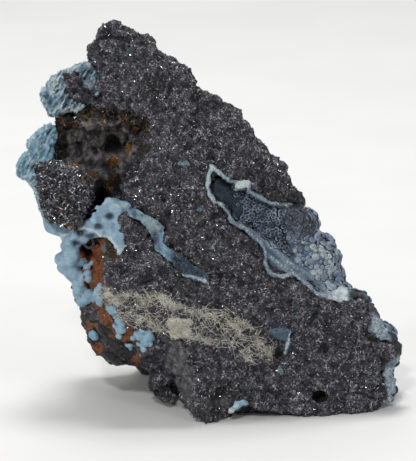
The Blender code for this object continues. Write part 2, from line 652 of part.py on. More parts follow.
def main():
    clear_scene()
    specimen = collection("shattuckite")
    cutters = collection("cutters")
    rock = build_matrix(specimen, cutters)
    around = [swollen(rock, cutters), floor_below(CRUST_LIFT, cutters)]
    blue = [right_crust(specimen, rock, around), left_crust(specimen, rock, around)]
    upper = thin_piece("upper_shattuckite", UPPER_OUTLINE, level(12.3), level(17.0), UPPER_FACES,
                       specimen, around)
    vug = thin_piece("vug_lining", VUG_OUTLINE, behind_face(0.1), behind_face(1.6), SMALL_FACES,
                     specimen, around)
    base = thin_piece("base_shattuckite", BASE_OUTLINE, behind_face(-0.5), behind_face(0.8),
                      SMALL_FACES, specimen, around)
    mat = thin_piece("needle_mat", MAT_OUTLINE, behind_face(-0.5), behind_face(0.6), MAT_FACES,
                     specimen, around)
    blue += [upper, vug, base]
    for name, balls in KNOBS.items():
        knob = join(name, sitting_balls(balls, rock, specimen), specimen)
        fuse(knob, SMALL_VOXEL)
        finish(knob, SMALL_FACES, around, SMALL_VOXEL)
        blue.append(knob)
    rock.data.materials.append(material("felted rock", (0.045, 0.045, 0.05), 0.6))
    mat.data.materials.append(material("cream needles", (0.62, 0.57, 0.44), 0.7))
    for piece in blue:
        piece.data.materials.append(material(piece.name + " blue", (0.33, 0.52, 0.62), 0.5))


main()
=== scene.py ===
"""Looks of the shattuckite specimen: felted dark rock, blue botryoidal crusts, a cream needle mat.

Outlines are in pixels of the 416 x 461 front picture, from its top left corner. `picture` tells
where a point of the specimen lies in that picture, and how deep it is behind the nearest point.
"""

import math
import random

import bmesh
import bpy
import numpy as np
from bpy.props import FloatProperty, FloatVectorProperty, IntProperty, PointerProperty
from mathutils import Matrix, Vector, noise
from mathutils.bvhtree import BVHTree


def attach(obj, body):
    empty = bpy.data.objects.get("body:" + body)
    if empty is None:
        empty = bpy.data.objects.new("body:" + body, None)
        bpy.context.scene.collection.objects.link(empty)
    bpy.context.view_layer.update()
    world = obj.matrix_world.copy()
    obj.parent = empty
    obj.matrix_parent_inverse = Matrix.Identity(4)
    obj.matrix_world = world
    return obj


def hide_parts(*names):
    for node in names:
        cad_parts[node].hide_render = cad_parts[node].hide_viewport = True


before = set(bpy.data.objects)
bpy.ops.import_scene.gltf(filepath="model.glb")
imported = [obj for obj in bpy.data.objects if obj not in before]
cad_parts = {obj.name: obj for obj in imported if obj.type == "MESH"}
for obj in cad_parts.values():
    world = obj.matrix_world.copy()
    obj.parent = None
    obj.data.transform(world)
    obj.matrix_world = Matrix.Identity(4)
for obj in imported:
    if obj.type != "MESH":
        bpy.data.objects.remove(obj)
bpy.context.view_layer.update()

bl_info = {
    "name": "Shattuckite specimen",
    "version": (1, 0, 0),
    "blender": (4, 5, 0),
    "location": "View3D > Sidebar > Specimen",
    "description": "Dresses the solids of a shattuckite specimen with crystals, crusts and materials",
    "category": "Object",
}

MM = 0.001

# The front picture: its scale, and the direction and distance it is seen from
PIXELS_PER_MM = 5.0
MIDDLE_PIXEL = 208.0
FOOT_PIXEL = 428.0
PICTURE_WIDTH = 416 / PIXELS_PER_MM
VIEW_TILT = math.radians(14.0)
VIEW_DISTANCE = 550.0
VIEW_HEIGHT = 39.5
CENTRE_ACROSS = 0.3
CENTRE_BACK = 25.8
SENSOR_WIDTH = 36.0

# Shape of the front face, as in the solids
FACE_LEAN = 0.10
FACE_UNDERCUT = 0.09
FACE_WAIST = 17.0
FACE_TURN = 0.25
FACE_TURN_SOFT = 10.0

# From the camera to the front face, for Blender and for arrays of points
SIGHT_LINE = Vector((0.0, math.cos(VIEW_TILT), -math.sin(VIEW_TILT)))
SIGHT = np.array(SIGHT_LINE)

# A depth behind everything, in millimetres
FAR_AWAY = 99.0


def sight(across, up, depth):
    """Place a point given as it looks in the front picture, in millimetres."""
    widen = 1.0 + depth / VIEW_DISTANCE
    rise = VIEW_HEIGHT + (up - VIEW_HEIGHT) * widen
    x = across * widen - CENTRE_ACROSS
    y = rise * math.sin(VIEW_TILT) + depth * math.cos(VIEW_TILT) - CENTRE_BACK
    z = rise * math.cos(VIEW_TILT) - depth * math.sin(VIEW_TILT)
    return Vector((x, y, z)) * MM


def picture(points):
    """Pixel column, pixel row and depth in millimetres of each point."""
    x, y, z = (points / MM).T
    y = y + CENTRE_BACK
    depth = y * math.cos(VIEW_TILT) - z * math.sin(VIEW_TILT)
    rise = y * math.sin(VIEW_TILT) + z * math.cos(VIEW_TILT)
    widen = 1.0 + depth / VIEW_DISTANCE
    across = (x + CENTRE_ACROSS) / widen
    up = VIEW_HEIGHT + (rise - VIEW_HEIGHT) / widen
    return MIDDLE_PIXEL + across * PIXELS_PER_MM, FOOT_PIXEL - up * PIXELS_PER_MM, depth


def face_depth(column, row):
    """Depth of the front face at a pixel: it leans back above its waist and turns to the right."""
    across = (column - MIDDLE_PIXEL) / PIXELS_PER_MM
    up = (FOOT_PIXEL - row) / PIXELS_PER_MM
    lean = np.where(up > FACE_WAIST, FACE_LEAN * (up - FACE_WAIST), FACE_UNDERCUT * (FACE_WAIST - up))
    return lean + FACE_TURN * (across + np.hypot(across, FACE_TURN_SOFT)) / 2


def pixel_place(column, row, depth):
    """The place of a pixel at a depth in millimetres."""
    return sight((column - MIDDLE_PIXEL) / PIXELS_PER_MM, (FOOT_PIXEL - row) / PIXELS_PER_MM, depth)


def ball_at(column, row, depth, wide, thick=None, high=None):
    """One row for `balls`: a pixel, its depth and radii in millimetres; a round ball needs one radius."""
    radii = (wide * MM, (wide if thick is None else thick) * MM, (wide if high is None else high) * MM)
    return pixel_place(column, row, depth), radii


def facing(normals):
    """How much each normal looks at the front camera, from -1 to 1."""
    return -(normals @ SIGHT)


def pushed(points, lengths):
    """Points moved away from the front camera by lengths in metres."""
    return points + SIGHT * lengths[:, None]


# Numbers on vertices


def gathered(source, key, width, kind=np.float32):
    """Rows of numbers that a mesh keeps for its vertices or edges."""
    flat = np.empty(len(source) * width, kind)
    source.foreach_get(key, flat)
    return flat.reshape(-1, width)


def coordinates(mesh):
    """Place of each vertex, in metres."""
    return gathered(mesh.vertices, "co", 3).astype(float)


def set_coordinates(mesh, points):
    """Move the vertices."""
    mesh.vertices.foreach_set("co", points.astype(np.float32).ravel())
    mesh.update()


def vertex_normals(mesh):
    """Outward direction at each vertex."""
    return gathered(mesh.vertex_normals, "vector", 3).astype(float)


def edge_pairs(mesh):
    """The two vertices of each edge."""
    return gathered(mesh.edges, "vertices", 2, np.int32)


def keep_values(mesh, **lanes):
    """Store one number for each vertex under each name."""
    for name, values in lanes.items():
        lane = mesh.attributes.get(name) or mesh.attributes.new(name, "FLOAT", "POINT")
        lane.data.foreach_set("value", np.asarray(values, np.float32).ravel())


def lane_values(mesh, name):
    """The numbers stored under a name."""
    return gathered(mesh.attributes[name].data, "value", 1)[:, 0]


def eased(values, pairs, rounds, back=0.0):
    """Average values with those of the neighbours; `back` undoes the shrinking that it brings."""
    values = values.reshape(len(values), -1)
    count = np.bincount(pairs.ravel(), minlength=len(values))[:, None]
    for turn in range(rounds * (2 if back else 1)):
        total = np.stack([
            np.bincount(pairs[:, 0], lane[pairs[:, 1]], len(values))
            + np.bincount(pairs[:, 1], lane[pairs[:, 0]], len(values)) for lane in values.T
        ], axis=1)
        share = -back if back and turn % 2 else 0.5
        values = values + share * (total / np.maximum(count, 1) - values)
    return values


def soft_step(values, low, high):
    """0 below low, 1 above high, smooth between; it falls when high is the smaller."""
    t = np.clip((values - low) / (high - low), 0.0, 1.0)
    return t * t * (3.0 - 2.0 * t)


def noise_at(points, size, seed, octaves=3):
    """Fractal noise at each point, with features of `size` millimetres."""
    shift = Vector((seed * 17.3, seed * 5.1, seed * 11.7))
    return np.array([
        noise.fractal(Vector(p) / (size * MM) + shift, 1.0, 2.0, octaves) for p in points.tolist()
    ])


def cells_at(points, size, seed):
    """Distances to the nearest and the second nearest cell centre at each point, in cell sizes."""
    shift = Vector((seed * 7.9, seed * 13.3, seed * 3.7))
    near = np.array([
        noise.voronoi(Vector(p) / (size * MM) + shift)[0][:2] for p in points.tolist()
    ])
    return near[:, 0], near[:, 1]


def line_distance(columns, rows, line, closed=False):
    """Distance in pixels to a line through picture points."""
    best = np.full(len(columns), 1e9)
    ends = line[1:] + (line[:1] if closed else [])
    for (c1, r1), (c2, r2) in zip(line, ends):
        dc, dr = c2 - c1, r2 - r1
        t = np.clip(((columns - c1) * dc + (rows - r1) * dr) / (dc * dc + dr * dr), 0.0, 1.0)
        best = np.minimum(best, np.hypot(columns - c1 - t * dc, rows - r1 - t * dr))
    return best


def beside(columns, rows, line, far, near, closed=False):
    """1 nearer than `near` pixels to a line through picture points, 0 past `far`, smooth between."""
    return soft_step(line_distance(columns, rows, line, closed), far, near)


def region(columns, rows, outline, soft):
    """1 inside a picture outline, 0 outside, with a border `soft` pixels wide."""
    within = np.zeros(len(columns), bool)
    for (c1, r1), (c2, r2) in zip(outline, outline[1:] + outline[:1]):
        if r1 != r2:
            crossing = c1 + (c2 - c1) * (rows - r1) / (r2 - r1)
            within ^= ((r1 > rows) != (r2 > rows)) & (columns < crossing)
    away = line_distance(columns, rows, outline, closed=True)
    return soft_step(np.where(within, away, -away), -soft, soft)


def spots(columns, rows, places, soft=0.5):
    """1 at the middle of any of the spots (column, row, half width, half height)."""
    most = np.zeros(len(columns))
    for column, row, wide, high in places:
        away = np.hypot((columns - column) / wide, (rows - row) / high)
        most = np.maximum(most, soft_step(away, 1.0 + soft, 1.0 - soft))
    return most


# Making and changing meshes


def to_object(name, mesh):
    """New object of a mesh in the scene."""
    made = bpy.data.objects.new(name, mesh)
    bpy.context.scene.collection.objects.link(made)
    return made


def apply_modifiers(target):
    """Replace the object's mesh with what its modifiers make of it."""
    bpy.context.view_layer.update()
    graph = bpy.context.evaluated_depsgraph_get()
    result = bpy.data.meshes.new_from_object(target.evaluated_get(graph))
    result.name = target.name
    target.modifiers.clear()
    target.data = result


def skin_over(target, cell):
    """Melt the object into one closed skin of small squares."""
    remesh = target.modifiers.new("skin", "REMESH")
    remesh.mode = "VOXEL"
    remesh.voxel_size = cell
    apply_modifiers(target)


def node_copy(node, grow=0.0):
    """Mesh of a solid with its doubles merged, grown by `grow` along its normals."""
    mesh = bmesh.new()
    mesh.from_mesh(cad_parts[node].data)
    bmesh.ops.remove_doubles(mesh, verts=mesh.verts, dist=1e-6)
    mesh.normal_update()
    for v, normal in [(v, v.normal.copy()) for v in mesh.verts]:
        v.co += normal * grow
    made = bpy.data.meshes.new(node)
    mesh.to_mesh(made)
    mesh.free()
    return made


def balls(rows):
    """Mesh of ellipsoids: centre and radii along the picture's axes, all in metres."""
    seed_mesh = bmesh.new()
    bmesh.ops.create_icosphere(seed_mesh, subdivisions=2, radius=1.0)
    shape = np.array([v.co[:] for v in seed_mesh.verts])
    faces = np.array([[v.index for v in f.verts] for f in seed_mesh.faces])
    seed_mesh.free()
    lean = np.array(Matrix.Rotation(-VIEW_TILT, 3, "X"))
    points = np.concatenate([shape * np.array(radii) @ lean.T + np.array(centre) for centre, radii in rows])
    corners = np.concatenate([faces + len(shape) * n for n in range(len(rows))])
    made = bpy.data.meshes.new("balls")
    made.from_pydata(points.tolist(), [], corners.tolist())
    return made


def melted(name, meshes, cell, rounds):
    """One smooth closed skin over several meshes that overlap."""
    mesh = bmesh.new()
    for part in meshes:
        mesh.from_mesh(part)
        bpy.data.meshes.remove(part)
    whole = bpy.data.meshes.new(name)
    mesh.to_mesh(whole)
    mesh.free()
    target = to_object(name, whole)
    skin_over(target, cell)
    smooth = eased(coordinates(target.data), edge_pairs(target.data), rounds, back=0.52)
    set_coordinates(target.data, smooth)
    return target


def bulging(mesh):
    """How far each vertex stands out from its surroundings: above 0 on ridges, below 0 in hollows."""
    pairs = edge_pairs(mesh)
    points = coordinates(mesh)
    out = ((points - eased(points, pairs, 6)) * vertex_normals(mesh)).sum(axis=1)
    return eased(out, pairs, 2)[:, 0] / MM


def surface(piece):
    """An object's mesh, its points and normals, and the points' columns, rows and depths."""
    points = coordinates(piece.data)
    return piece.data, points, vertex_normals(piece.data), *picture(points)


def settle(points):
    """Keep points off the ground's underside."""
    points[:, 2] = np.maximum(points[:, 2], 0.0)
    return points


def finish_piece(piece, material, slot, *nodes):
    """Give a piece its material and its body, and hide the solids that it stands for."""
    piece.data.materials.clear()
    piece.data.materials.append(material)
    piece.data.shade_smooth()
    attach(piece, "root")
    if nodes:
        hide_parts(*nodes)


def tree_of(target):
    """Search tree of an object's surface."""
    graph = bpy.context.evaluated_depsgraph_get()
    return BVHTree.FromObject(target, graph)


def along(line, spacing):
    """Points every `spacing` pixels along a line through picture points."""
    for (c1, r1), (c2, r2) in zip(line, line[1:]):
        steps = max(1, round(math.hypot(c2 - c1, r2 - r1) / spacing))
        for n in range(steps):
            yield c1 + (c2 - c1) * n / steps, r1 + (r2 - r1) * n / steps


def seen_depth(rock, column, row):
    """Depth at which a pixel's line of sight meets a surface, or None."""
    start = pixel_place(column, row, -100.0)
    eye = pixel_place(column, row, 0.0)
    hit = rock.ray_cast(start, (eye - start).normalized())[0]
    return None if hit is None else picture(np.array([hit]))[2][0]


# Building materials and Geometry Nodes trees


def put(tree, kind, inputs=None, **settings):
    """Add a node; inputs are numbers, colours or the sockets that feed them."""
    made = tree.nodes.new(kind)
    for key, value in settings.items():
        setattr(made, key, value)
    for key, value in (inputs or {}).items():
        if isinstance(value, bpy.types.NodeSocket):
            tree.links.new(value, made.inputs[key])
        else:
            made.inputs[key].default_value = value
    return made


def sums(tree, operation, one, two, clamp=False):
    """A sum of two numbers or sockets."""
    return put(tree, "ShaderNodeMath", {0: one, 1: two}, operation=operation, use_clamp=clamp).outputs[0]


def four(value):
    """A colour with its fourth number, or the socket that gives it."""
    return value if isinstance(value, bpy.types.NodeSocket) else (*value[:3], 1.0)


class Finish:
    """A new material, with the patterns that feed its shader."""

    def __init__(self, name):
        self.material = bpy.data.materials.new(name)
        self.material.use_nodes = True
        self.tree = self.material.node_tree
        self.shader = self.tree.nodes["Principled BSDF"]
        self.place = put(self.tree, "ShaderNodeTexCoord").outputs["Object"]

    def grain(self, size, detail=2.0, roughness=0.6, distortion=0.0):
        """Noise with features of `size` millimetres."""
        return put(self.tree, "ShaderNodeTexNoise", {
            "Vector": self.place, "Scale": 1.0 / (size * MM), "Detail": detail, "Roughness": roughness,
            "Distortion": distortion,
        }).outputs["Fac"]

    def cells(self, size, output="Distance"):
        """Cells of `size` millimetres."""
        return put(self.tree, "ShaderNodeTexVoronoi", {
            "Vector": self.place, "Scale": 1.0 / (size * MM),
        }).outputs[output]

    def lane(self, name, share=None):
        """Numbers stored on the piece, or a share of them."""
        found = put(self.tree, "ShaderNodeAttribute", attribute_name=name).outputs["Fac"]
        return found if share is None else self.times(found, share)

    def fit(self, value, low, high, to_low=0.0, to_high=1.0):
        """Stretch the values between two limits over another range, smoothly."""
        return put(self.tree, "ShaderNodeMapRange", {
            "Value": value, "From Min": low, "From Max": high, "To Min": to_low, "To Max": to_high,
        }, interpolation_type="SMOOTHSTEP").outputs["Result"]

    def times(self, one, two, clamp=False):
        """Product of two patterns."""
        return sums(self.tree, "MULTIPLY", one, two, clamp)

    def broken(self, name, noise, ends, most, low, high):
        """Stored numbers whose border is broken up by a noise pattern."""
        wander = self.fit(noise, ends, 1.0 - ends, *most)
        return self.fit(sums(self.tree, "ADD", self.lane(name), wander), low, high)

    def blend(self, share, one, two):
        """Mix two colours."""
        return put(self.tree, "ShaderNodeMix", {0: share, 6: four(one), 7: four(two)}, data_type="RGBA",
                   blend_type="MIX").outputs[2]

    def coats(self, colour, layers):
        """Lay one colour after another over the first, each with the share that it covers."""
        for share, coat in layers:
            colour = self.blend(share, colour, coat)
        return colour

    def bump(self, height, distance, strength=1.0, below=None):
        """Relief of a height pattern, on top of another relief."""
        inputs = {"Height": height, "Distance": distance, "Strength": strength}
        if below is not None:
            inputs["Normal"] = below
        return put(self.tree, "ShaderNodeBump", inputs).outputs["Normal"]

    def dress(self, **looks):
        """Give the shader its looks, and hand over the material."""
        for name, value in looks.items():
            socket = self.shader.inputs[name.replace("_", " ")]
            if isinstance(value, bpy.types.NodeSocket):
                self.tree.links.new(value, socket)
            else:
                socket.default_value = value
        return self.material


def new_tree(name, inputs):
    """Geometry Nodes tree with one geometry and named inputs, its given values and its end node."""
    tree = bpy.data.node_groups.new(name, "GeometryNodeTree")
    for way in ("OUTPUT", "INPUT"):
        tree.interface.new_socket("Geometry", in_out=way, socket_type="NodeSocketGeometry")
    for label, (kind, value) in inputs.items():
        socket = tree.interface.new_socket(label, in_out="INPUT", socket_type="NodeSocket" + kind)
        if value is not None:
            socket.default_value = value
    return tree, put(tree, "NodeGroupInput").outputs, put(tree, "NodeGroupOutput")


def end_tree(tree, end, instances, material):
    """Close a tree: its instances become plain mesh with a material."""
    real = put(tree, "GeometryNodeRealizeInstances", {0: instances})
    dressed = put(tree, "GeometryNodeSetMaterial", {"Geometry": real.outputs[0], "Material": material})
    tree.links.new(dressed.outputs[0], end.inputs[0])
    return tree


def run_tree(target, tree, values):
    """Turn an object into the plain mesh that a tree makes of it, with inputs set by their names."""
    runner = target.modifiers.new("tree", "NODES")
    runner.node_group = tree
    for item in tree.interface.items_tree:
        if item.in_out == "INPUT" and item.name in values:
            runner[item.identifier] = values[item.name]
    apply_modifiers(target)


def grow_on(name, base, tree, values):
    """New object with what a tree grows on a base object."""
    grown = to_object(name, base.data)
    run_tree(grown, tree, values)
    return grown


def density_lane(tree):
    """The `density` numbers of the surface that a tree grows on."""
    return put(tree, "GeometryNodeInputNamedAttribute", {"Name": "density"}, data_type="FLOAT").outputs[0]


def chance(tree, seed, step, low, high):
    """A random number for each instance; `step` keeps one draw apart from another."""
    return put(tree, "FunctionNodeRandomValue", {
        2: low, 3: high, "Seed": sums(tree, "ADD", seed, step),
    }, data_type="FLOAT").outputs[1]


def bent_needle(tree):
    """A bent three-sided needle one long along X, thick in its middle."""
    line = put(tree, "GeometryNodeCurveQuadraticBezier", {
        "Resolution": 4, "Start": (-0.5, -0.1, -0.05), "Middle": (0.1, 0.3, 0.12), "End": (0.5, -0.1, -0.03),
    })
    share = put(tree, "GeometryNodeSplineParameter").outputs["Factor"]
    hump = sums(tree, "MULTIPLY", sums(tree, "MULTIPLY", share, sums(tree, "SUBTRACT", 1.0, share)), 4.0)
    tapered = put(tree, "GeometryNodeSetCurveRadius", {
        "Curve": line.outputs[0], "Radius": sums(tree, "ADD", hump, 0.3),
    })
    ring = put(tree, "GeometryNodeCurvePrimitiveCircle", {"Resolution": 3, "Radius": 0.5})
    return put(tree, "GeometryNodeCurveToMesh", {
        "Curve": tapered.outputs[0], "Profile Curve": ring.outputs["Curve"], "Fill Caps": True,
    }).outputs[0]


def pointed_blade(tree):
    """An eight-sided double point one long, one wide and one thick."""
    return put(tree, "GeometryNodeMeshUVSphere", {"Segments": 4, "Rings": 2, "Radius": 0.5}).outputs["Mesh"]


def crystal_tree(name, shape):
    """Crystals of a shape, scattered on a surface where its `density` lane is above 0.

    They head along `Heading`, give or take `Spread`, and stand up by a tilt between two limits.
    """
    tree, given, end = new_tree(name, {
        "Per Square Metre": ("Float", 3e6), "Length": ("Float", 0.0007), "Width": ("Float", 0.00012),
        "Thickness": ("Float", 0.00006), "Least Tilt": ("Float", 0.0), "Most Tilt": ("Float", 0.7),
        "Heading": ("Vector", (1.0, 0.0, 0.0)), "Spread": ("Float", math.pi), "Lift": ("Float", 0.0),
        "Seed": ("Int", 1), "Material": ("Material", None),
    })
    points = put(tree, "GeometryNodeDistributePointsOnFaces", {
        "Mesh": given["Geometry"], "Seed": given["Seed"],
        "Density": sums(tree, "MULTIPLY", given["Per Square Metre"], density_lane(tree)),
    })
    outward = put(tree, "FunctionNodeAlignRotationToVector", {"Vector": points.outputs["Normal"]}, axis="Z")
    ahead = put(tree, "FunctionNodeAlignRotationToVector", {
        "Rotation": outward.outputs[0], "Vector": given["Heading"],
    }, axis="X", pivot_axis="Z")
    back = sums(tree, "MULTIPLY", given["Spread"], -1.0)
    low = put(tree, "ShaderNodeCombineXYZ", {"X": 0.0, "Y": given["Least Tilt"], "Z": back})
    high = put(tree, "ShaderNodeCombineXYZ", {"X": math.pi, "Y": given["Most Tilt"], "Z": given["Spread"]})
    turn = put(tree, "FunctionNodeRandomValue", {
        0: low.outputs[0], 1: high.outputs[0], "Seed": given["Seed"],
    }, data_type="FLOAT_VECTOR").outputs[0]
    spin = put(tree, "FunctionNodeEulerToRotation", {0: turn}).outputs[0]
    facing = put(tree, "FunctionNodeRotateRotation", {0: ahead.outputs[0], 1: spin}, rotation_space="LOCAL")
    offset = put(tree, "ShaderNodeVectorMath", {
        0: points.outputs["Normal"], "Scale": chance(tree, given["Seed"], 11.0, 0.0, given["Lift"]),
    }, operation="SCALE").outputs[0]
    risen = put(tree, "GeometryNodeSetPosition", {"Geometry": points.outputs["Points"], "Offset": offset})
    size = put(tree, "ShaderNodeCombineXYZ", {
        "X": sums(tree, "MULTIPLY", given["Length"], chance(tree, given["Seed"], 3.0, 0.45, 1.5)),
        "Y": given["Width"], "Z": given["Thickness"],
    })
    placed = put(tree, "GeometryNodeInstanceOnPoints", {
        "Points": risen.outputs[0], "Instance": shape(tree), "Rotation": facing.outputs[0],
        "Scale": size.outputs[0],
    })
    tinted = put(tree, "GeometryNodeStoreNamedAttribute", {
        "Geometry": placed.outputs[0], "Name": "tint", "Value": chance(tree, given["Seed"], 7.0, 0.0, 1.0),
    }, data_type="FLOAT", domain="INSTANCE")
    return end_tree(tree, end, tinted.outputs[0], given["Material"])


# The host rock

CAVITY_WALL = [
    (62, 122), (90, 118), (122, 118), (138, 128), (138, 150), (128, 162), (122, 176), (108, 184),
    (96, 186), (82, 168), (70, 160), (66, 150), (66, 135),
]
LEFT_LOBE = [
    (24, 164), (30, 157), (40, 158), (50, 160), (62, 160), (72, 164), (82, 168), (90, 178), (95, 190),
    (92, 206), (90, 218), (80, 228), (60, 230), (48, 226), (44, 212), (40, 195), (34, 182),
]
DRUSE = [
    (56, 104), (78, 106), (100, 107), (128, 108), (150, 122), (147, 150), (138, 152), (132, 138),
    (122, 132), (104, 130), (92, 120), (74, 128), (68, 142), (68, 158), (56, 158), (48, 144), (50, 120),
]
GAP_SHADE = [(86, 190), (100, 176), (118, 176), (124, 188), (112, 202), (103, 212), (96, 222), (88, 220)]
GOLD_SPOTS = [
    (75, 128, 3, 5), (61, 119, 3, 3), (72, 167, 7, 4), (93, 174, 6, 3), (113, 161, 6, 5),
    (111, 184, 4, 8), (134, 128, 2.4, 5), (124, 122, 3, 3), (90, 117, 3, 2), (131, 148, 2.4, 5),
    (104, 115, 2, 2), (84, 179, 4, 3),
]
RUST = [
    (80, 236), (94, 236), (104, 244), (106, 262), (103, 284), (97, 298), (106, 308), (120, 318),
    (134, 328), (150, 336), (152, 350), (140, 346), (126, 342), (116, 338), (106, 326), (97, 312),
    (88, 300), (79, 292), (76, 256),
]
RUST_SPOTS = [
    (135, 362, 4, 8), (98, 348, 6, 4), (150, 345, 3, 6), (90, 326, 5, 7), (66, 225, 8, 1.6),
]
LIP = [(266, 192), (306, 194), (307, 208), (290, 207), (270, 203)]
OLIVE = [(102, 238), (118, 244), (121, 256), (110, 264), (102, 254)]
BAND = [(166, 340), (180, 342), (186, 362), (194, 388), (196, 404), (186, 400), (178, 384), (168, 364)]
# The lower left facet; the colours darken it as painted shade
LOWER_FACET = [
    (76, 308), (98, 320), (122, 336), (136, 352), (150, 372), (156, 396), (130, 372), (112, 360),
    (92, 354), (82, 334),
]
GREY_GRAIN = [(104, 249, 2.4, 6)]
RED_SPOTS = [(190, 374, 2.4, 2.2), (63, 207, 5, 5)]
PALE_SPOTS = [
    (184, 164, 6, 2.2), (154, 192, 3.6, 1.8), (214, 246, 1.2, 6), (200, 209, 4, 1.8), (281, 371, 2.8, 4),
    (129, 47, 2.4, 3.2), (296, 318, 2, 1.6), (309, 315, 1.8, 1.4),
]
CRACK = [(164, 150), (170, 156), (176, 160), (181, 167)]
WALL_PITS = [(82, 146, 4, 6), (111, 146, 6, 7), (125, 144, 4, 6), (96, 150, 3, 4)]
TAN_STREAKS = [[(108, 137), (118, 140), (131, 148)], [(112, 132), (124, 137)]]
# Spots of painted shade in the holes at the cavity's left and in its druse
HOLE_SHADE_SPOTS = [(60, 147, 8, 7), (55, 153, 5, 5), (112, 116, 6, 4), (92, 110, 5, 3)]
VUG_PIT = [(277, 350, 6, 7)]
LOW_PIT = [(320, 397, 7, 5)]
DARK_RUST = (0.05, 0.016, 0.007)
# Relief of the rock, in millimetres
CRACK_DEPTH = 0.55
SPLIT_DEPTH = 0.5
PIT_DEPTH = 0.8
HOLE_DEPTH = 1.3
VUG_DEPTH = 2.6
DIMPLE_DEPTH = 0.6
WALL_HEIGHT = 0.9
DRUSE_HEIGHT = 0.8
# Column, row, radius in pixels and depth in millimetres of the rock that closes the cavity's left
CAVITY_SIDE = [(56, 142, 7, 14), (58, 151, 7, 14), (61, 158, 6, 14), (60, 134, 6, 14), (64, 146, 8, 17)]


def rock_skin(look):
    """Closed skin of the host rock with its broken relief and the numbers that its colours use."""
    side = balls([ball_at(column, row, deep, radius / PIXELS_PER_MM)
                  for column, row, radius, deep in CAVITY_SIDE])
    rock = melted("host_rock", [node_copy("matrix"), side], look.cell, 8)
    unseen = soft_step(facing(vertex_normals(rock.data)), 0.1, -0.3)
    group = rock.vertex_groups.new(name="unseen")
    for n, weight in enumerate(unseen.tolist()):
        group.add([n], weight, "REPLACE")
    thinner = rock.modifiers.new("thinner", "DECIMATE")
    thinner.ratio = min(1.0, look.most_triangles / (2.0 * len(rock.data.polygons)))
    thinner.vertex_group = group.name
    apply_modifiers(rock)
    rock.vertex_groups.clear()
    mesh, points, normals, columns, rows, depth = surface(rock)
    behind = depth - face_depth(columns, rows)
    toward = facing(normals)
    front = soft_step(np.abs(behind), 3.0, 1.2) * soft_step(toward, 0.2, 0.6)
    seen = soft_step(toward, -0.35, 0.0) * soft_step(depth, 27.0, 20.0)
    # Picture places shifted at random, which makes the borders of the regions ragged
    ragged = noise_at(points, 2.5, 1, 4)
    c = columns + 5.0 * ragged
    r = rows + 5.0 * noise_at(points, 2.5, 2, 4)

    def seen_region(outline, soft=3.0):
        """A region of the part that the front camera sees."""
        return region(c, r, outline, soft) * seen

    wall = seen_region(CAVITY_WALL) * soft_step(behind, 1.2, 2.5)
    druse = seen_region(DRUSE) * soft_step(behind, -1.0, 1.0)
    gap = seen_region(GAP_SHADE, 2.0) * soft_step(behind, 1.5, 3.0)
    grey = spots(columns, rows, GREY_GRAIN) * seen
    flank = seen_region(LOWER_FACET)
    plain = np.maximum.reduce([seen_region(BAND), flank, 0.9 * wall, grey])
    rust = np.maximum(region(c, r, RUST, 3.0) * soft_step(behind, 0.2, 1.4), spots(c, r, RUST_SPOTS)) * seen
    hidden = (1 - front) * (1 - seen) * soft_step(columns, 260.0, 160.0)
    rust = np.maximum(rust, 0.6 * soft_step(noise_at(points, 9.0, 5, 4), 0.28, 0.5) * hidden)

    # Relief: chips, knots and felt all over, with pits, cracks, the cavity's wall and the vugs in places
    near, far = cells_at(points + (0.9 * MM * ragged)[:, None] * normals, look.chip_size / MM, 4)
    chips = np.minimum(far - near, 0.42) - 0.18
    knots = 0.6 - 2.0 * np.abs(noise_at(points, 2.4, 6, 4))
    felt = noise_at(points, 0.75, 7, 2)
    pits = soft_step(cells_at(points, 5.5, 8)[0], 0.16, 0.06) * (1 - plain) * (1 - wall)
    near, far = cells_at(points + (1.5 * MM * ragged)[:, None] * normals, 8.5, 12)
    cracks = soft_step(far - near, 0.07, 0.0) * soft_step(noise_at(points, 9.0, 13), -0.2, 0.2) * (1 - wall)
    holes = spots(c, r, WALL_PITS, 0.6) * wall
    vug = np.maximum(spots(columns, rows, VUG_PIT, 0.4), spots(columns, rows, LOW_PIT, 0.4)) * front
    warped = points + (2.2 * MM * ragged)[:, None] * normals[:, [1, 2, 0]]
    dimples = cells_at(warped, 4.6, 9)[0]
    height = look.chip_height * chips * (1.0 - 0.25 * front)
    height += look.knot_height * knots * (1.0 - 0.6 * plain)
    height -= CRACK_DEPTH * MM * cracks
    height += look.felt_height * felt * (1.0 - 0.75 * plain)
    height += DRUSE_HEIGHT * MM * druse * noise_at(points, 1.3, 10, 3)
    height -= MM * (HOLE_DEPTH * holes + VUG_DEPTH * vug)
    height -= PIT_DEPTH * MM * pits
    height -= SPLIT_DEPTH * MM * beside(columns, rows, CRACK, 3.0, 0.5) * front
    height += wall * MM * (DIMPLE_DEPTH * (dimples - 0.5) + WALL_HEIGHT * noise_at(points, 3.4, 14, 4))
    set_coordinates(mesh, settle(points + normals * height[:, None]))

    # Painted shade: near-black in the gap by the lobe, the wall's holes, the pits, the cracks, the holes and
    # the pocket's lip
    dark = [gap, 0.85 * holes, vug, 0.7 * cracks, 0.9 * spots(c, r, HOLE_SHADE_SPOTS, 0.6) * seen,
            0.65 * seen_region(LIP)]
    keep_values(
        mesh, front=front, wall=wall, druse=druse, rust=rust, plain=plain, knots=knots, grey=grey,
        flank=flank, gap=np.maximum.reduce(dark), olive=seen_region(OLIVE, 2.0),
        tan=wall * np.maximum(*[beside(c, r, line, 2.4, 0.6) for line in TAN_STREAKS]),
        gold=spots(c, r, GOLD_SPOTS) * seen * soft_step(behind, 0.5, 2.0),
        red=spots(columns, rows, RED_SPOTS) * seen,
        pale=spots(columns + 3.0 * felt, rows + 3.0 * knots, PALE_SPOTS, 0.4) * front,
        mat=region(columns, rows, MAT_OUTLINE, 2.0) * seen * soft_step(toward, 0.1, 0.3),
    )
    return rock


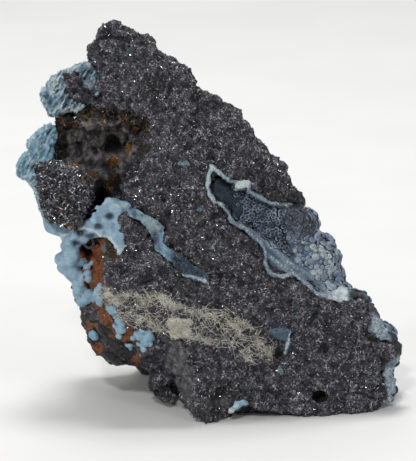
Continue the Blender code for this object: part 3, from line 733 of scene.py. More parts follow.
def rock_material(look):
    """Dark felted rock: fine bright strokes on black, partly painted glints, with rust, druse and smooth grey
    places.
    """
    rock = Finish("felted host rock")
    middle = rock.grain(1.5, 3.0)
    fine = rock.grain(0.36, 3.0, 0.8, 1.2)
    off_middle = sums(rock.tree, "SUBTRACT", rock.grain(1.9, 2.0, 0.6, 1.5), 0.5)
    veins = put(rock.tree, "ShaderNodeMath", {0: off_middle}, operation="ABSOLUTE").outputs[0]
    glint_cells = put(rock.tree, "ShaderNodeSeparateColor", {0: rock.cells(0.5, "Color")}).outputs[0]
    felt = rock.coats(rock.blend(rock.fit(fine, 0.44, 0.64), look.dark, look.grey), [
        # Painted glints: near-white specks over the felt
        (rock.times(rock.fit(glint_cells, 0.72, 0.95), rock.fit(fine, 0.45, 0.6)), look.glint),
        (rock.fit(middle, 0.35, 0.6, 0.75, 0.0), look.dark),
        (rock.fit(veins, 0.03, 0.005, 0.0, 0.85), look.dark),
        (rock.fit(rock.grain(7.0, 3.0), 0.48, 0.68, 0.0, 0.55), look.brown),
        (rock.fit(rock.grain(3.2, 3.0, 0.6, 0.8), 0.5, 0.36, 0.0, 0.6), look.dark),
        # Painted shade in the dips between the knots
        (rock.fit(rock.lane("knots"), -0.1, -0.7, 0.0, 0.8), look.dark),
    ])
    # Grey of the smooth places; its lighter grey on the band also paints the band's sheen
    smooth = rock.blend(rock.fit(middle, 0.3, 0.7), (0.026, 0.025, 0.028), (0.17, 0.163, 0.17))
    brown = rock.blend(fine, (0.004, 0.0035, 0.003), (0.032, 0.022, 0.012))
    walls = rock.blend(rock.fit(middle, 0.3, 0.7), (0.045, 0.040, 0.044), (0.26, 0.238, 0.252))
    walls = rock.blend(rock.fit(rock.grain(2.6, 3.0, 0.6, 1.0), 0.5, 0.38, 0.0, 0.75), walls, brown)
    colour = rock.coats(felt, [
        (rock.lane("plain", 0.85), smooth),
        # Painted shade: the overhanging lower left facet darkened nearly to black
        (rock.lane("flank", 0.88), look.dark),
        (rock.lane("druse", 0.85), brown),
        (rock.lane("wall"), walls),
        (rock.lane("tan", 0.7), (0.24, 0.19, 0.13)),
        (rock.broken("rust", middle, 0.3, (-0.35, 0.2), 0.35, 0.6),
         rock.blend(rock.fit(fine, 0.35, 0.65), DARK_RUST, look.rust)),
        (rock.lane("olive"), rock.blend(fine, (0.02, 0.014, 0.006), (0.1, 0.07, 0.025))),
        (rock.broken("gold", fine, 0.3, (-0.5, 0.3), 0.5, 0.75),
         rock.blend(middle, (0.13, 0.045, 0.007), (0.5, 0.19, 0.03))),
        (rock.lane("red", 0.8), (0.07, 0.018, 0.016)),
        (rock.fit(rock.lane("grey"), 0.3, 0.7), (0.16, 0.165, 0.18)),
        (rock.fit(rock.lane("pale"), 0.3, 0.7), look.speck),
        # Painted shade in the rock's recesses
        (rock.lane("gap"), (0.004, 0.004, 0.005)),
    ])
    rough = sums(rock.tree, "MAXIMUM", rock.fit(fine, 0.35, 0.7, 0.62, 0.34), rock.lane("rust", 0.8))
    rises = rock.bump(fine, 0.0002, 0.9, rock.bump(rock.grain(0.9, 2.0, 0.6, 0.5), 0.00035, 0.7))
    facets = rock.bump(rock.cells(0.36), 0.00025, 1.0, rises)
    return rock.dress(Base_Color=colour, Roughness=rough, Metallic=0.12, Normal=facets)


def blade_material(name, dark, light, roughness, metallic):
    """Glinting crystal blades, each with its own tone."""
    blade = Finish(name)
    tone = sums(blade.tree, "POWER", blade.lane("tint"), 3.0)
    colour = blade.coats(blade.blend(tone, dark, light), [
        (blade.fit(blade.grain(0.25, 1.0), 0.4, 0.7, 0.0, 0.4), dark),
    ])
    return blade.dress(
        Base_Color=colour, Roughness=blade.fit(blade.lane("tint"), 0.0, 1.0, roughness + 0.2, roughness),
        Metallic=metallic, Normal=blade.bump(blade.grain(0.15, 1.0), 0.00003, 0.5),
    )


# The blue crusts

# Relief of the crusts, in millimetres
WINDOW_DEPTH = 1.2
FOLD_HEIGHT = 0.9
SHEET_SWELL = 2.0
MASS_SWELL = 3.0
LUMP_HEIGHT = 0.25
LINING_DEPTH = 2.2
# Rows of balls that make the pocket's pale rim, and their spacing in millimetres
RIM_ROWS = 5
RIM_STEP = 0.5

POCKET_UPPER = [
    (212, 167), (220, 174), (230, 181), (240, 182), (248, 183), (249, 190), (255, 195), (262, 199),
    (270, 203), (280, 205), (292, 205),
]
POCKET_LOWER = [
    (212, 167), (209, 175), (208, 187), (210, 195), (214, 201), (222, 205), (228, 212), (230, 220),
    (237, 225), (245, 228), (253, 236), (262, 244), (266, 252), (265, 262), (268, 270), (273, 275),
    (283, 276), (293, 273), (300, 279), (308, 285), (315, 292), (325, 296), (340, 300), (352, 300),
]
FOLD_LINE = [(240, 222), (252, 232), (262, 240), (275, 250), (290, 262), (305, 273), (320, 281), (332, 287)]
NAVY = [
    (211, 170), (228, 180), (246, 190), (262, 201), (284, 208), (288, 226), (290, 244), (298, 262),
    (282, 253), (264, 239), (250, 228), (232, 216), (216, 202), (209, 190),
]
BROWN_ZONE = [(276, 202), (302, 202), (310, 214), (318, 234), (300, 238), (288, 232), (286, 216)]
LOWER_SHEET = [
    (262, 240), (276, 252), (292, 264), (312, 279), (328, 288), (318, 292), (306, 282), (294, 272),
    (284, 276), (273, 274), (266, 268), (264, 256),
]
BULGE = [(296, 236), (316, 230), (332, 238), (342, 258), (342, 290), (326, 288), (306, 272), (292, 256)]
NOTCH = [(361, 314), (366, 325), (364, 336), (371, 344), (390, 340), (384, 322), (374, 314)]
# Column, row, radius in pixels and how many pixels they stand out
KNOB_BALLS = {
    "blue_knob_5": [
        (137, 334, 4, 2), (142, 331, 3.4, 2), (148, 333, 4, 3), (152, 338, 3.6, 2), (150, 344, 3.2, 2),
        (144, 349, 3.6, 2), (140, 343, 4, 3), (133, 338, 3.4, 2),
    ],
    "blue_knob_2": [(121, 322, 3.6, 2), (124, 329, 4, 2), (119, 336, 3.6, 2), (115, 326, 3, 2)],
    "blue_knob_1": [(112, 312, 3.4, 2), (108, 308, 3, 2), (116, 317, 3, 2)],
    "blue_knob_4": [(128, 344, 3.4, 2), (131, 348, 2.6, 2)],
}
VUG_HOLE = [(266, 343), (284, 341), (285, 350), (280, 360), (266, 360)]
VUG_RIM = [(291, 333), (289, 341), (286, 348), (283, 356)]
BASE_PALE = [(231, 411, 4, 3), (236, 406, 3, 2)]
BASE_BROWN = [(234, 412, 3, 2)]
UPPER_DARK = [(64, 102, 3, 5), (74, 105, 5, 3), (58, 84, 3, 3)]
WHITE_PATCH = [(240, 186, 8, 5), (246, 184, 5, 5), (213, 168, 4, 4)]

# Column, row, radius in pixels and how many pixels it stands above the rock or the crust
LEFT_KNOBS = [
    (70, 240, 7, 2), (76, 236, 6, 2), (61, 259, 7, 2), (71, 251, 9, 3), (65, 268, 7, 3),
    (73, 257, 7, 3), (69, 262, 8, 3), (72, 273, 8, 4), (76, 275, 6, 4), (78, 284, 7, 3),
    (79, 292, 7, 3), (82, 301, 6.5, 2), (89, 295, 6, 2), (66, 246, 6, 2), (86, 299, 6, 2),
]
FRONT_KNOBS = [
    (81, 263, 4.4, 5), (84, 262, 4, 5), (87, 267, 4, 5), (88, 273, 4, 4), (89, 279, 4.4, 4), (92, 263, 3, 3),
    (99, 292, 6, 4), (101, 301, 6, 3), (95, 297, 6, 3), (101, 286, 4, 3),
]
# Column, row and radius in pixels of the small curl, and the number of balls that it is made of
CURL_RING = (89, 243, 4.8)
CURL_BALLS = 14
# Spots of painted shade in the left crust's hollows
HOLLOW_SHADE_SPOTS = [
    (81, 233, 5, 3.4), (98, 226, 4, 3), (109, 216, 4.4, 3), (76, 243, 5, 3), (90, 236, 5, 3),
    (155, 238, 3, 9), (84, 218, 5, 2),
]
VEIN_HOLLOW = [
    (172, 257), (184, 260), (194, 267), (204, 274), (203, 278), (190, 275), (181, 273), (174, 266),
]
TONGUE = [
    (98, 208), (106, 202), (114, 203), (116, 214), (119, 226), (124, 238), (125, 247), (119, 254),
    (116, 247), (108, 238), (100, 236), (93, 230), (92, 220),
]
RUST_WINDOW = [
    (79, 250), (82, 245), (93, 241), (101, 249), (105, 262), (104, 282), (97, 291), (88, 290), (84, 284),
    (84, 276), (78, 268), (77, 258),
]
VEIN = [
    (103, 203), (109, 200), (120, 204), (130, 203), (135, 206), (140, 211), (147, 213), (150, 217),
    (158, 216), (163, 220), (166, 225), (164, 232), (162, 238), (163, 245), (168, 250), (175, 253),
    (182, 254), (186, 260), (193, 266), (203, 270), (208, 284), (203, 279), (198, 277), (190, 276),
    (180, 275), (175, 265), (168, 259), (162, 256), (155, 250), (153, 243), (150, 235), (147, 228),
    (138, 223), (130, 216), (124, 210), (116, 216), (103, 210),
]
VEIN_CREAM = [(154, 224, 8, 8), (150, 219, 7, 4), (120, 206, 9, 2)]
VEIN_STRAND = [(176, 272), (184, 276), (196, 277), (204, 280), (210, 285)]
CURTAIN_RIM = [
    (62, 236), (76, 230), (84, 228), (93, 231), (101, 237), (109, 238), (117, 247), (119, 253), (125, 246),
]


def swelling(points, normals, most, seed):
    """Shift that makes a sheet thicker and thinner without moving its outline in the front picture."""
    toward = normals @ SIGHT
    return (most * toward * noise_at(points, 4.5, seed, 2))[:, None] * SIGHT


def wrinkles(points, size, seed):
    """Sharp ridges that run down to the left, between -0.5 and 0.5."""
    slanted = points @ np.array(Matrix.Rotation(math.radians(35), 3, "Y")) * np.array([2.2, 1.0, 0.7])
    return 0.5 - 2.0 * np.abs(noise_at(slanted, size, seed, 4))


def streaks(points, size, seed):
    """Long soft stripes that run down to the right, between about -0.5 and 0.5."""
    slanted = points @ np.array(Matrix.Rotation(math.radians(35), 3, "Y")) * np.array([0.3, 1.0, 2.0])
    return noise_at(slanted, size, seed, 3)


def ball_tree(name):
    """Balls set into a surface where its `density` lane is above 0; their `edge` lane is 1 at the rim."""
    tree, given, end = new_tree(name, {
        "Spacing": ("Float", 0.001), "Flatness": ("Float", 0.7), "Seed": ("Int", 1),
        "Material": ("Material", None),
    })
    points = put(tree, "GeometryNodeDistributePointsOnFaces", {
        "Mesh": given["Geometry"], "Distance Min": sums(tree, "MULTIPLY", given["Spacing"], 0.58),
        "Density Max": 6e6, "Density Factor": density_lane(tree), "Seed": given["Seed"],
    }, distribute_method="POISSON")
    ball = put(tree, "GeometryNodeMeshUVSphere", {"Segments": 9, "Rings": 5, "Radius": 0.5})
    across = put(tree, "ShaderNodeVectorMath", {
        0: put(tree, "GeometryNodeInputPosition").outputs[0], 1: (2.0, 2.0, 0.0),
    }, operation="MULTIPLY").outputs[0]
    edge = put(tree, "ShaderNodeVectorMath", {0: across}, operation="LENGTH").outputs["Value"]
    marked = put(tree, "GeometryNodeStoreNamedAttribute", {
        "Geometry": ball.outputs["Mesh"], "Name": "edge", "Value": edge,
    }, data_type="FLOAT", domain="POINT")
    wide = sums(tree, "MULTIPLY", given["Spacing"], chance(tree, given["Seed"], 5.0, 0.55, 1.35))
    size = put(tree, "ShaderNodeCombineXYZ", {
        "X": wide, "Y": wide, "Z": sums(tree, "MULTIPLY", wide, given["Flatness"]),
    })
    placed = put(tree, "GeometryNodeInstanceOnPoints", {
        "Points": points.outputs["Points"], "Instance": marked.outputs[0],
        "Rotation": points.outputs["Rotation"], "Scale": size.outputs[0],
    })
    return end_tree(tree, end, placed.outputs[0], given["Material"])


def crust_numbers(piece, **more):
    """Store how much each vertex bulges and any other numbers that the blue colours use."""
    keep_values(piece.data, bulge=bulging(piece.data), **more)


def blue_material(name, look, ringed=False):
    """Shattuckite: pale blue, navy places, painted shade in hollows, painted highlights, pale or teal rims,
    fine fibrous mottling.
    """
    blue = Finish(name)
    middle = blue.grain(1.6, 3.0)
    fine = blue.grain(0.3, 3.0, 0.7)
    out = blue.lane("bulge")
    broad = blue.fit(middle, 0.35, 0.7)
    colour = blue.coats(blue.blend(broad, look.blue, look.light), [
        (blue.fit(fine, 0.35, 0.75, 0.0, 0.45), look.mid),
        # Painted shade in the crust's hollows and painted highlight on its ridges
        (blue.fit(out, -0.02, -0.14, 0.0, 0.9), look.deep),
        (blue.fit(out, 0.05, 0.2, 0.0, 0.55), look.rim),
        (blue.lane("cream", 0.8), look.cream),
        (blue.lane("teal", 0.6), look.teal),
        # Navy: the crust's own navy, and painted shade in hollows, the vein's hollow, the vug's hole and
        # patches of the bulge
        (blue.times(blue.lane("navy"), blue.fit(fine, 0.3, 0.8, 1.0, 0.8), True),
         blue.blend(broad, look.navy, [0.45 * v for v in look.deep])),
        (blue.lane("dusk"), blue.blend(middle, look.slate, look.dusk)),
        (blue.lane("brown"), blue.blend(fine, (0.013, 0.013, 0.016), (0.06, 0.058, 0.058))),
    ])
    if ringed:
        edge = blue.lane("edge")
        ring = blue.times(blue.fit(edge, 0.42, 0.6), blue.fit(edge, 0.86, 0.74))
        ring = blue.times(ring, blue.fit(middle, 0.35, 0.6, 0.15, 0.85))
        ring = blue.times(ring, blue.fit(blue.lane("brown"), 0.0, 1.0, 1.0, 0.35))
        # Painted shade at the rims of the balls, in the gaps between them
        ball_gap_shade = blue.fit(edge, 0.76, 0.95, 0.0, 0.9)
        colour = blue.coats(colour, [(ring, look.ring), (ball_gap_shade, look.navy)])
    colour = blue.coats(colour, [
        (blue.broken("rust", middle, 0.3, (-0.3, 0.2), 0.35, 0.6),
         blue.blend(blue.fit(fine, 0.35, 0.65), DARK_RUST, look.rust)),
        # Pale: the crust's pale rims and edges, and painted highlights on wrinkle crests, the bulge, the
        # shoulder and the upper mass
        (blue.broken("pale", fine, 0.25, (-0.45, 0.25), 0.2, 0.75), blue.blend(fine, look.rim, look.white)),
    ])
    soft = blue.bump(blue.grain(0.6, 2.0), 0.00012, 0.5)
    return blue.dress(
        Base_Color=colour, Roughness=blue.fit(fine, 0.3, 0.7, 0.62, 0.42), Specular_IOR_Level=0.25,
        Normal=blue.bump(fine, 0.00008, 0.7, soft),
    )


def sitting_balls(rock, places):
    """Balls on a surface as it is seen from the front; columns, rows and sizes in pixels."""
    rows = []
    for column, row, radius, lift in places:
        depth = seen_depth(rock, column, row)
        if depth is not None:
            size = radius / PIXELS_PER_MM
            rows.append(ball_at(column, row, depth + 0.5 * size - lift / PIXELS_PER_MM, size))
    return balls(rows)


def left_knobs(rock, sheet):
    """Rows for `balls`: the round masses on the left, the curtain's tongue and the small curl."""
    rows = []
    for column, row, radius, lift in LEFT_KNOBS + FRONT_KNOBS:
        depths = [depth for depth in (seen_depth(rock, column, row), seen_depth(sheet, column, row))
                  if depth is not None]
        if depths:
            size = radius / PIXELS_PER_MM
            rows.append(ball_at(column, row, min(depths) + 0.4 * size - lift / PIXELS_PER_MM * 0.4, size))
    grid = np.array([(c, r) for c in range(92, 127, 3) for r in range(202, 256, 3)], float)
    for column, row in grid[region(grid[:, 0], grid[:, 1], TONGUE, 1.0) > 0.4].tolist():
        depth = min(seen_depth(rock, column, row), float(face_depth(column, row)))
        ripple = 0.35 * math.sin(0.5 * column - 0.22 * row)
        rows.append(ball_at(column, row, depth - 0.1 + ripple, 0.55, 0.45))
    column, row, radius = CURL_RING
    depth = min(seen_depth(rock, column, row), seen_depth(sheet, column, row) or FAR_AWAY)
    for step in range(CURL_BALLS):
        angle = math.radians(-140 + 280 * step / (CURL_BALLS - 1))
        across, down = radius * math.sin(angle), radius * math.cos(angle)
        rows.append(ball_at(column + across, row + down, depth - 0.5, 0.36))
    return rows


def left_crust(look, rock):
    """The sheet behind the left lobe, the round masses below it and the vein."""
    solid = melted("left_solid", [node_copy("left_shattuckite_crust", look.grow)], look.cell, 3)
    points = coordinates(solid.data)
    columns, rows, depth = picture(points)
    sunk = region(columns, rows, RUST_WINDOW, 1.5) * soft_step(depth, 16.0, 12.0)
    set_coordinates(solid.data, pushed(points, WINDOW_DEPTH * MM * sunk))
    knobs = left_knobs(rock, tree_of(solid))
    solid_mesh = solid.data
    bpy.data.objects.remove(solid)
    crust = melted("left_crust", [solid_mesh, balls(knobs)], look.cell, 4)
    mesh, points, normals, columns, rows, depth = surface(crust)
    knobbed = np.zeros(len(points))
    for centre, radii in knobs:
        away = np.linalg.norm(points - np.array(centre), axis=1) / max(radii)
        knobbed = np.maximum(knobbed, soft_step(away, 1.25, 1.1))
    rust = region(columns, rows, RUST_WINDOW, 2.0) * (1 - knobbed) * soft_step(normals[:, 1], 0.2, -0.2)
    vein = soft_step(columns, 122.0, 130.0) * soft_step(rows, 300.0, 290.0)
    sheet = soft_step(rows, 222.0, 205.0) * soft_step(columns, 100.0, 92.0)

    # Relief: wrinkles on the sheet, lumps on the vein, which stays near the front face
    folds = wrinkles(points, 2.2, 26)
    height = 0.10 * MM * noise_at(points, 1.8, 21, 3) + 0.03 * MM * noise_at(points, 0.6, 22, 2)
    height += sheet * MM * (FOLD_HEIGHT * folds + 0.25 * noise_at(points, 0.6, 27, 2))
    height += vein * MM * (0.45 * noise_at(points, 1.1, 28, 3) - 0.3)
    points = points + normals * height[:, None]
    points += swelling(points, normals, SHEET_SWELL * MM, 45) * sheet[:, None]
    columns, rows, depth = picture(points)
    hollow = region(columns, rows, VEIN_HOLLOW, 2.0)
    level = face_depth(columns, rows) - 0.15 + 0.25 * noise_at(points, 0.8, 29, 2) + 1.5 * hollow
    level += 0.3 * soft_step(columns, 160.0, 172.0)
    points = pushed(points, vein * np.maximum(0.0, level - depth) * MM)
    set_coordinates(mesh, settle(points))

    c, r = columns + 1.5 * noise_at(points, 1.5, 23), rows + 1.5 * noise_at(points, 1.5, 24)
    rim = beside(c, r, CURTAIN_RIM, 2.4, 0.8)
    edge = beside(c, r, VEIN, 2.6, 0.8, closed=True) * soft_step(c, 184.0, 174.0)
    strand = beside(c, r, VEIN_STRAND, 2.4, 1.0)
    # Painted shade over the vein's tail, a hollow, except its pale strand
    tail_shade = soft_step(c, 165.0, 176.0) * soft_step(r, 245.0, 252.0) * (1 - strand)
    cream = spots(c, r, VEIN_CREAM, 0.6) * soft_step(c, 106.0, 114.0)
    mottled = 0.85 * vein * (1 - edge) * (1 - cream) * soft_step(noise_at(points, 1.6, 30, 3), -0.05, 0.25)
    # Painted highlight on the crests of the sheet's wrinkles
    ridge_highlight = sheet * soft_step(wrinkles(points, 2.2, 26), 0.0, 0.4)
    # Navy here is painted shade in the hollow spots, the vein's hollow and its tail, and the vein's own
    # mottling
    crust_numbers(
        crust, navy=np.maximum.reduce([spots(c, r, HOLLOW_SHADE_SPOTS, 0.6), hollow, 0.95 * tail_shade, mottled]),
        pale=np.maximum.reduce([rim * 0.8, 0.75 * ridge_highlight, 0.6 * strand]), rust=rust, cream=0.8 * cream,
        teal=np.maximum(vein * np.maximum(0.7 * edge, 0.3), 0.9 * sheet) * (1 - tail_shade),
        dusk=0.3 * vein * (1 - edge) * (1 - tail_shade), fuzz=np.maximum(sheet, 0.6 * vein),
    )
    return crust


def pocket_walls():
    """Thin crust on the pocket's walls, up to a pale rim at the front face."""
    picks = random.Random(11)
    rows = []
    for line in (POCKET_UPPER, POCKET_LOWER):
        for column, row in along(line, 1.8):
            top = float(face_depth(column, row)) + 0.2
            for step in range(RIM_ROWS):
                size = picks.uniform(0.2, 0.32)
                rows.append(ball_at(
                    column + picks.uniform(-0.9, 0.9), row + picks.uniform(-0.9, 0.9),
                    top + RIM_STEP * step + picks.uniform(-0.25, 0.15), size,
                ))
    for column, row in along(FOLD_LINE, 1.6):
        rows.append(ball_at(column, row, float(face_depth(column, row)) + 2.3, picks.uniform(0.4, 0.6)))
    for column, row, wide, high in WHITE_PATCH[:2]:
        rows.append(ball_at(column, row, float(face_depth(column, row)) + 0.4,
                            0.7 * wide / PIXELS_PER_MM, 0.5, 0.6 * high / PIXELS_PER_MM))
    return balls(rows)


def right_crust(look):
    """The pocket's lining, its bulge, the pale edge and the balls on the right side and back."""
    parts = [node_copy("right_botryoidal_crust", look.grow), pocket_walls()]
    crust = melted("right_crust", parts, look.cell, 5)
    mesh, points, normals, columns, rows, depth = surface(crust)
    behind = depth - face_depth(columns, rows)
    seen = soft_step(facing(normals), -0.2, 0.1) * soft_step(depth, 24.0, 18.0)
    c, r = columns + 2.0 * noise_at(points, 1.6, 31), rows + 2.0 * noise_at(points, 1.6, 32)
    inner = region(c, r, NAVY, 3.0) * seen
    bulge = region(columns, rows, BULGE, 3.0) * seen
    sheet = region(c, r, LOWER_SHEET, 2.0) * seen
    zone = region(c, r, BROWN_ZONE, 4.0) * seen
    corner_notch = soft_step(c, 380.0, 386.0) * soft_step(r, 352.0, 362.0)
    notch = np.maximum(region(c, r, NOTCH, 2.0), corner_notch) * seen
    lumps = np.sqrt(np.maximum(0.0, 1.0 - (cells_at(points, 2.3, 34)[0] / 0.75) ** 2))
    height = LUMP_HEIGHT * MM * lumps * (1 - 0.7 * inner) * (1 - 0.8 * sheet)
    height += (0.12 + 0.4 * notch) * MM * noise_at(points, 0.9, 35, 3)
    set_coordinates(mesh, settle(points + normals * height[:, None]))

    at_rim = np.minimum(*[line_distance(columns, rows, line) for line in (POCKET_UPPER, POCKET_LOWER)])
    rim = soft_step(behind, 1.0, 0.35) * soft_step(at_rim, 4.0, 1.6) * seen
    fold = beside(c, r, FOLD_LINE, 2.2, 0.8) * seen * soft_step(c, 238.0, 262.0)
    low_edge = beside(c, r, POCKET_LOWER[14:], 5.0, 1.5) * seen * soft_step(c, 264.0, 274.0)
    # Painted highlight on the crust's shoulder, where light from above and behind falls
    shoulder_highlight = soft_step(c, 318.0, 336.0) * soft_step(r, 284.0, 291.0) * soft_step(behind, 7.0, 4.0) * seen
    shoulder_highlight *= soft_step(c, 352.0, 346.0)
    right_edge = soft_step(c, 344.0, 351.0) * soft_step(r, 286.0, 292.0) * seen
    patch = spots(c, r, WHITE_PATCH, 0.5) * seen
    corner = soft_step(c, 232.0, 216.0)
    lines = streaks(points, 1.6, 38)
    # Painted highlight in patches on the bulge
    bulge_highlight = bulge * soft_step(noise_at(points, 2.2, 39, 3), 0.0, 0.3)
    edges = [(0.4 + 0.25 * corner) * rim, 0.45 * fold, 0.5 * low_edge, shoulder_highlight, 0.9 * patch]
    pale = np.maximum(np.maximum.reduce(edges) * (1 - 0.6 * right_edge), 0.5 * notch)
    stains = 0.55 * soft_step(noise_at(points, 6.0, 36), 0.1, 0.5) * (1 - seen)
    # Painted shade in patches on the bulge
    bulge_shade = 0.8 * bulge * soft_step(noise_at(points, 2.6, 40, 3), 0.0, -0.3)
    inside = seen * soft_step(c, 206.0, 212.0) * soft_step(c, 350.0, 336.0)
    dusk = np.maximum.reduce([0.8 * inside * (1 - inner) * (1 - 0.5 * bulge), 0.65 * bulge, 0.6 * notch])
    hidden = (1 - seen) * np.maximum(soft_step(c, 285.0, 300.0), soft_step(depth, 20.0, 24.0))
    dark_lines = sheet * (0.35 + 0.5 * soft_step(lines, 0.0, -0.2))
    crust_numbers(
        crust, navy=np.maximum.reduce([inner, stains, dark_lines, bulge_shade]),
        pale=np.maximum.reduce([pale, 0.55 * sheet * soft_step(lines, 0.08, 0.2), 0.6 * bulge_highlight]),
        teal=0.25 * soft_step(noise_at(points, 3.0, 37), 0.0, 0.5),
        brown=np.maximum(0.8 * zone, right_edge * (1 - notch)),
        dusk=dusk * (1 - 0.4 * sheet) * (1 - 0.6 * shoulder_highlight), fuzz=np.maximum(0.5 * rim, sheet),
        pocket_balls=np.clip(inner + zone, 0, 1) * soft_step(c, 232.0, 246.0) * (1 - sheet) * (1 - rim)
        * (1 - bulge),
        outer_balls=np.maximum(bulge, hidden) * (1 - sheet) * (1 - right_edge) * (1 - shoulder_highlight),
    )
    return crust


def small_blue(name, node, look, seed, rock):
    """A small crust: a finer copy of its solid with lumps of its own and small balls beside it."""
    parts = [node_copy(node, look.grow * 0.8)]
    if node in KNOB_BALLS:
        parts.append(sitting_balls(rock, KNOB_BALLS[node]))
    piece = melted(name, parts, look.small_cell, 3)
    mesh = piece.data
    points, normals = coordinates(mesh), vertex_normals(mesh)
    height = 0.14 * MM * noise_at(points, 1.1, seed, 3)
    points += normals * height[:, None]
    columns, rows, _ = picture(points)
    hole = region(columns, rows, VUG_HOLE, 1.2)
    set_coordinates(mesh, settle(pushed(points, LINING_DEPTH * hole * MM)))
    edge = beside(columns, rows, VUG_RIM, 2.6, 1.0)
    vug = soft_step(rows, 320.0, 325.0) * soft_step(columns, 260.0, 264.0) * soft_step(columns, 300.0, 296.0)
    inside = vug * soft_step(rows, 333.0, 343.0)
    # Navy in the vug: its dark lining, and painted shade in the hole
    crust_numbers(
        piece, navy=np.maximum.reduce([hole, inside * (1 - edge), 0.8 * vug * (1 - edge)]),
        pale=np.maximum(edge * 0.6 * vug, 0.8 * spots(columns, rows, BASE_PALE)),
        teal=np.full(len(points), 0.3), brown=0.9 * spots(columns, rows, BASE_BROWN), dusk=0.2 * vug,
        fuzz=1.2 * vug,
    )
    return piece


def upper_mass(look):
    """The fibrous blue mass behind the slab's upper left edge."""
    piece = melted("upper_mass", [node_copy("upper_shattuckite", look.grow)], look.small_cell, 3)
    mesh, points, normals, columns, rows, _ = surface(piece)
    fibres = wrinkles(points, 2.6, 41)
    near, far = cells_at(points, 2.4, 42)
    height = 0.7 * MM * fibres + 0.6 * MM * (np.minimum(far - near, 0.4) - 0.2)
    height = height + 0.2 * MM * noise_at(points, 0.6, 44, 2)
    height += 0.8 * MM * (0.2 - np.abs(noise_at(points, 2.2, 47, 3)))
    set_coordinates(mesh, points + normals * height[:, None] + swelling(points, normals, MASS_SWELL * MM, 46))
    # Painted shade in the troughs between the fibres, painted highlight on their crests
    crust_numbers(
        piece, navy=np.maximum(spots(columns, rows, UPPER_DARK, 0.6), 0.4 * soft_step(fibres, -0.15, -0.6)),
        pale=0.8 * soft_step(fibres, -0.1, 0.35), fuzz=np.ones(len(points)),
        teal=0.5 * soft_step(noise_at(points, 3.0, 43), -0.1, 0.4),
    )
    return piece


# The needle mat

MAT_OUTLINE = [
    (103, 287), (118, 290), (130, 291), (150, 291), (165, 294), (172, 303), (185, 306), (205, 309),
    (215, 313), (233, 313), (240, 318), (248, 322), (255, 328), (262, 335), (270, 340), (272, 350),
    (270, 359), (262, 361), (252, 362), (245, 358), (235, 350), (225, 348), (215, 344), (207, 344),
    (200, 340), (182, 339), (175, 334), (165, 330), (150, 330), (140, 327), (130, 322), (120, 316),
    (112, 307), (108, 300), (103, 294),
]
MAT_CHUNK = [
    (172, 324, 5, 6), (178, 327, 8, 8), (184, 331, 6, 7), (176, 332, 6, 6), (184, 323, 8, 4),
    (109, 295, 3.4, 2.4), (114, 300, 3.4, 2.2), (118, 304, 2.6, 1.8),
]
MAT_BUNDLES = [
    [(104, 288), (120, 293), (140, 297), (157, 300), (190, 310), (212, 318), (232, 327), (250, 338),
     (266, 350)],
    [(150, 294), (165, 297), (178, 304), (196, 307), (225, 316), (245, 323), (257, 332), (268, 344),
     (266, 357), (252, 360), (242, 352)],
    [(112, 300), (122, 311), (145, 322), (170, 333), (195, 338), (210, 343), (230, 346), (245, 355)],
    [(104, 290), (108, 298), (114, 306), (124, 314)],
]


def mat_chunks(rock):
    """The matted lumps in the web of needles, as one skin with small ridges."""
    rows = []
    for column, row, wide, high in MAT_CHUNK:
        depth = seen_depth(rock, column, row)
        if depth is not None:
            rows.append(ball_at(column, row, depth - 0.5, wide / PIXELS_PER_MM, 0.6, high / PIXELS_PER_MM))
    lumps = melted("mat_chunks", [balls(rows)], 0.00014, 2)
    points = coordinates(lumps.data)
    height = 0.22 * MM * noise_at(points * np.array([0.5, 1.0, 1.3]), 0.6, 52, 4)
    set_coordinates(lumps.data, points + vertex_normals(lumps.data) * height[:, None])
    return lumps


def lump_material(look):
    """Beige matted lumps with darker pores."""
    lump = Finish("beige lumps")
    fine = lump.grain(0.3, 3.0, 0.7)
    colour = lump.blend(lump.fit(lump.grain(1.0), 0.3, 0.7), look.lump, [0.7 * v for v in look.lump])
    colour = lump.blend(lump.fit(fine, 0.45, 0.6, 0.0, 0.85), colour, look.ash)
    return lump.dress(Base_Color=colour, Roughness=0.75, Normal=lump.bump(fine, 0.0002))


def cream_material(look):
    """Silky cream needles, duller in places."""
    needle = Finish("cream needles")
    fine = needle.grain(0.25)
    colour = needle.blend(needle.fit(needle.grain(2.2), 0.3, 0.7), look.cream, look.straw)
    colour = needle.blend(needle.fit(fine, 0.4, 0.7, 0.0, 0.6), colour, look.ash)
    return needle.dress(Base_Color=colour, Roughness=needle.fit(fine, 0.3, 0.7, 0.35, 0.6),
                        Normal=needle.bump(fine, 0.00004, 0.6))


# Settings


def length_setting(name, description, default):
    """A length that the user can change."""
    return FloatProperty(name=name, description=description, default=default, min=0.0, precision=5,
                         subtype="DISTANCE", unit="LENGTH")


def number_setting(name, description, default):
    """A plain number that the user can change."""
    return FloatProperty(name=name, description=description, default=default, min=0.0)


def colour_setting(name, description, default):
    """A colour that the user can change."""
    return FloatVectorProperty(name=name, description=description, default=default, size=3, min=0.0,
                               max=1.0, subtype="COLOR")


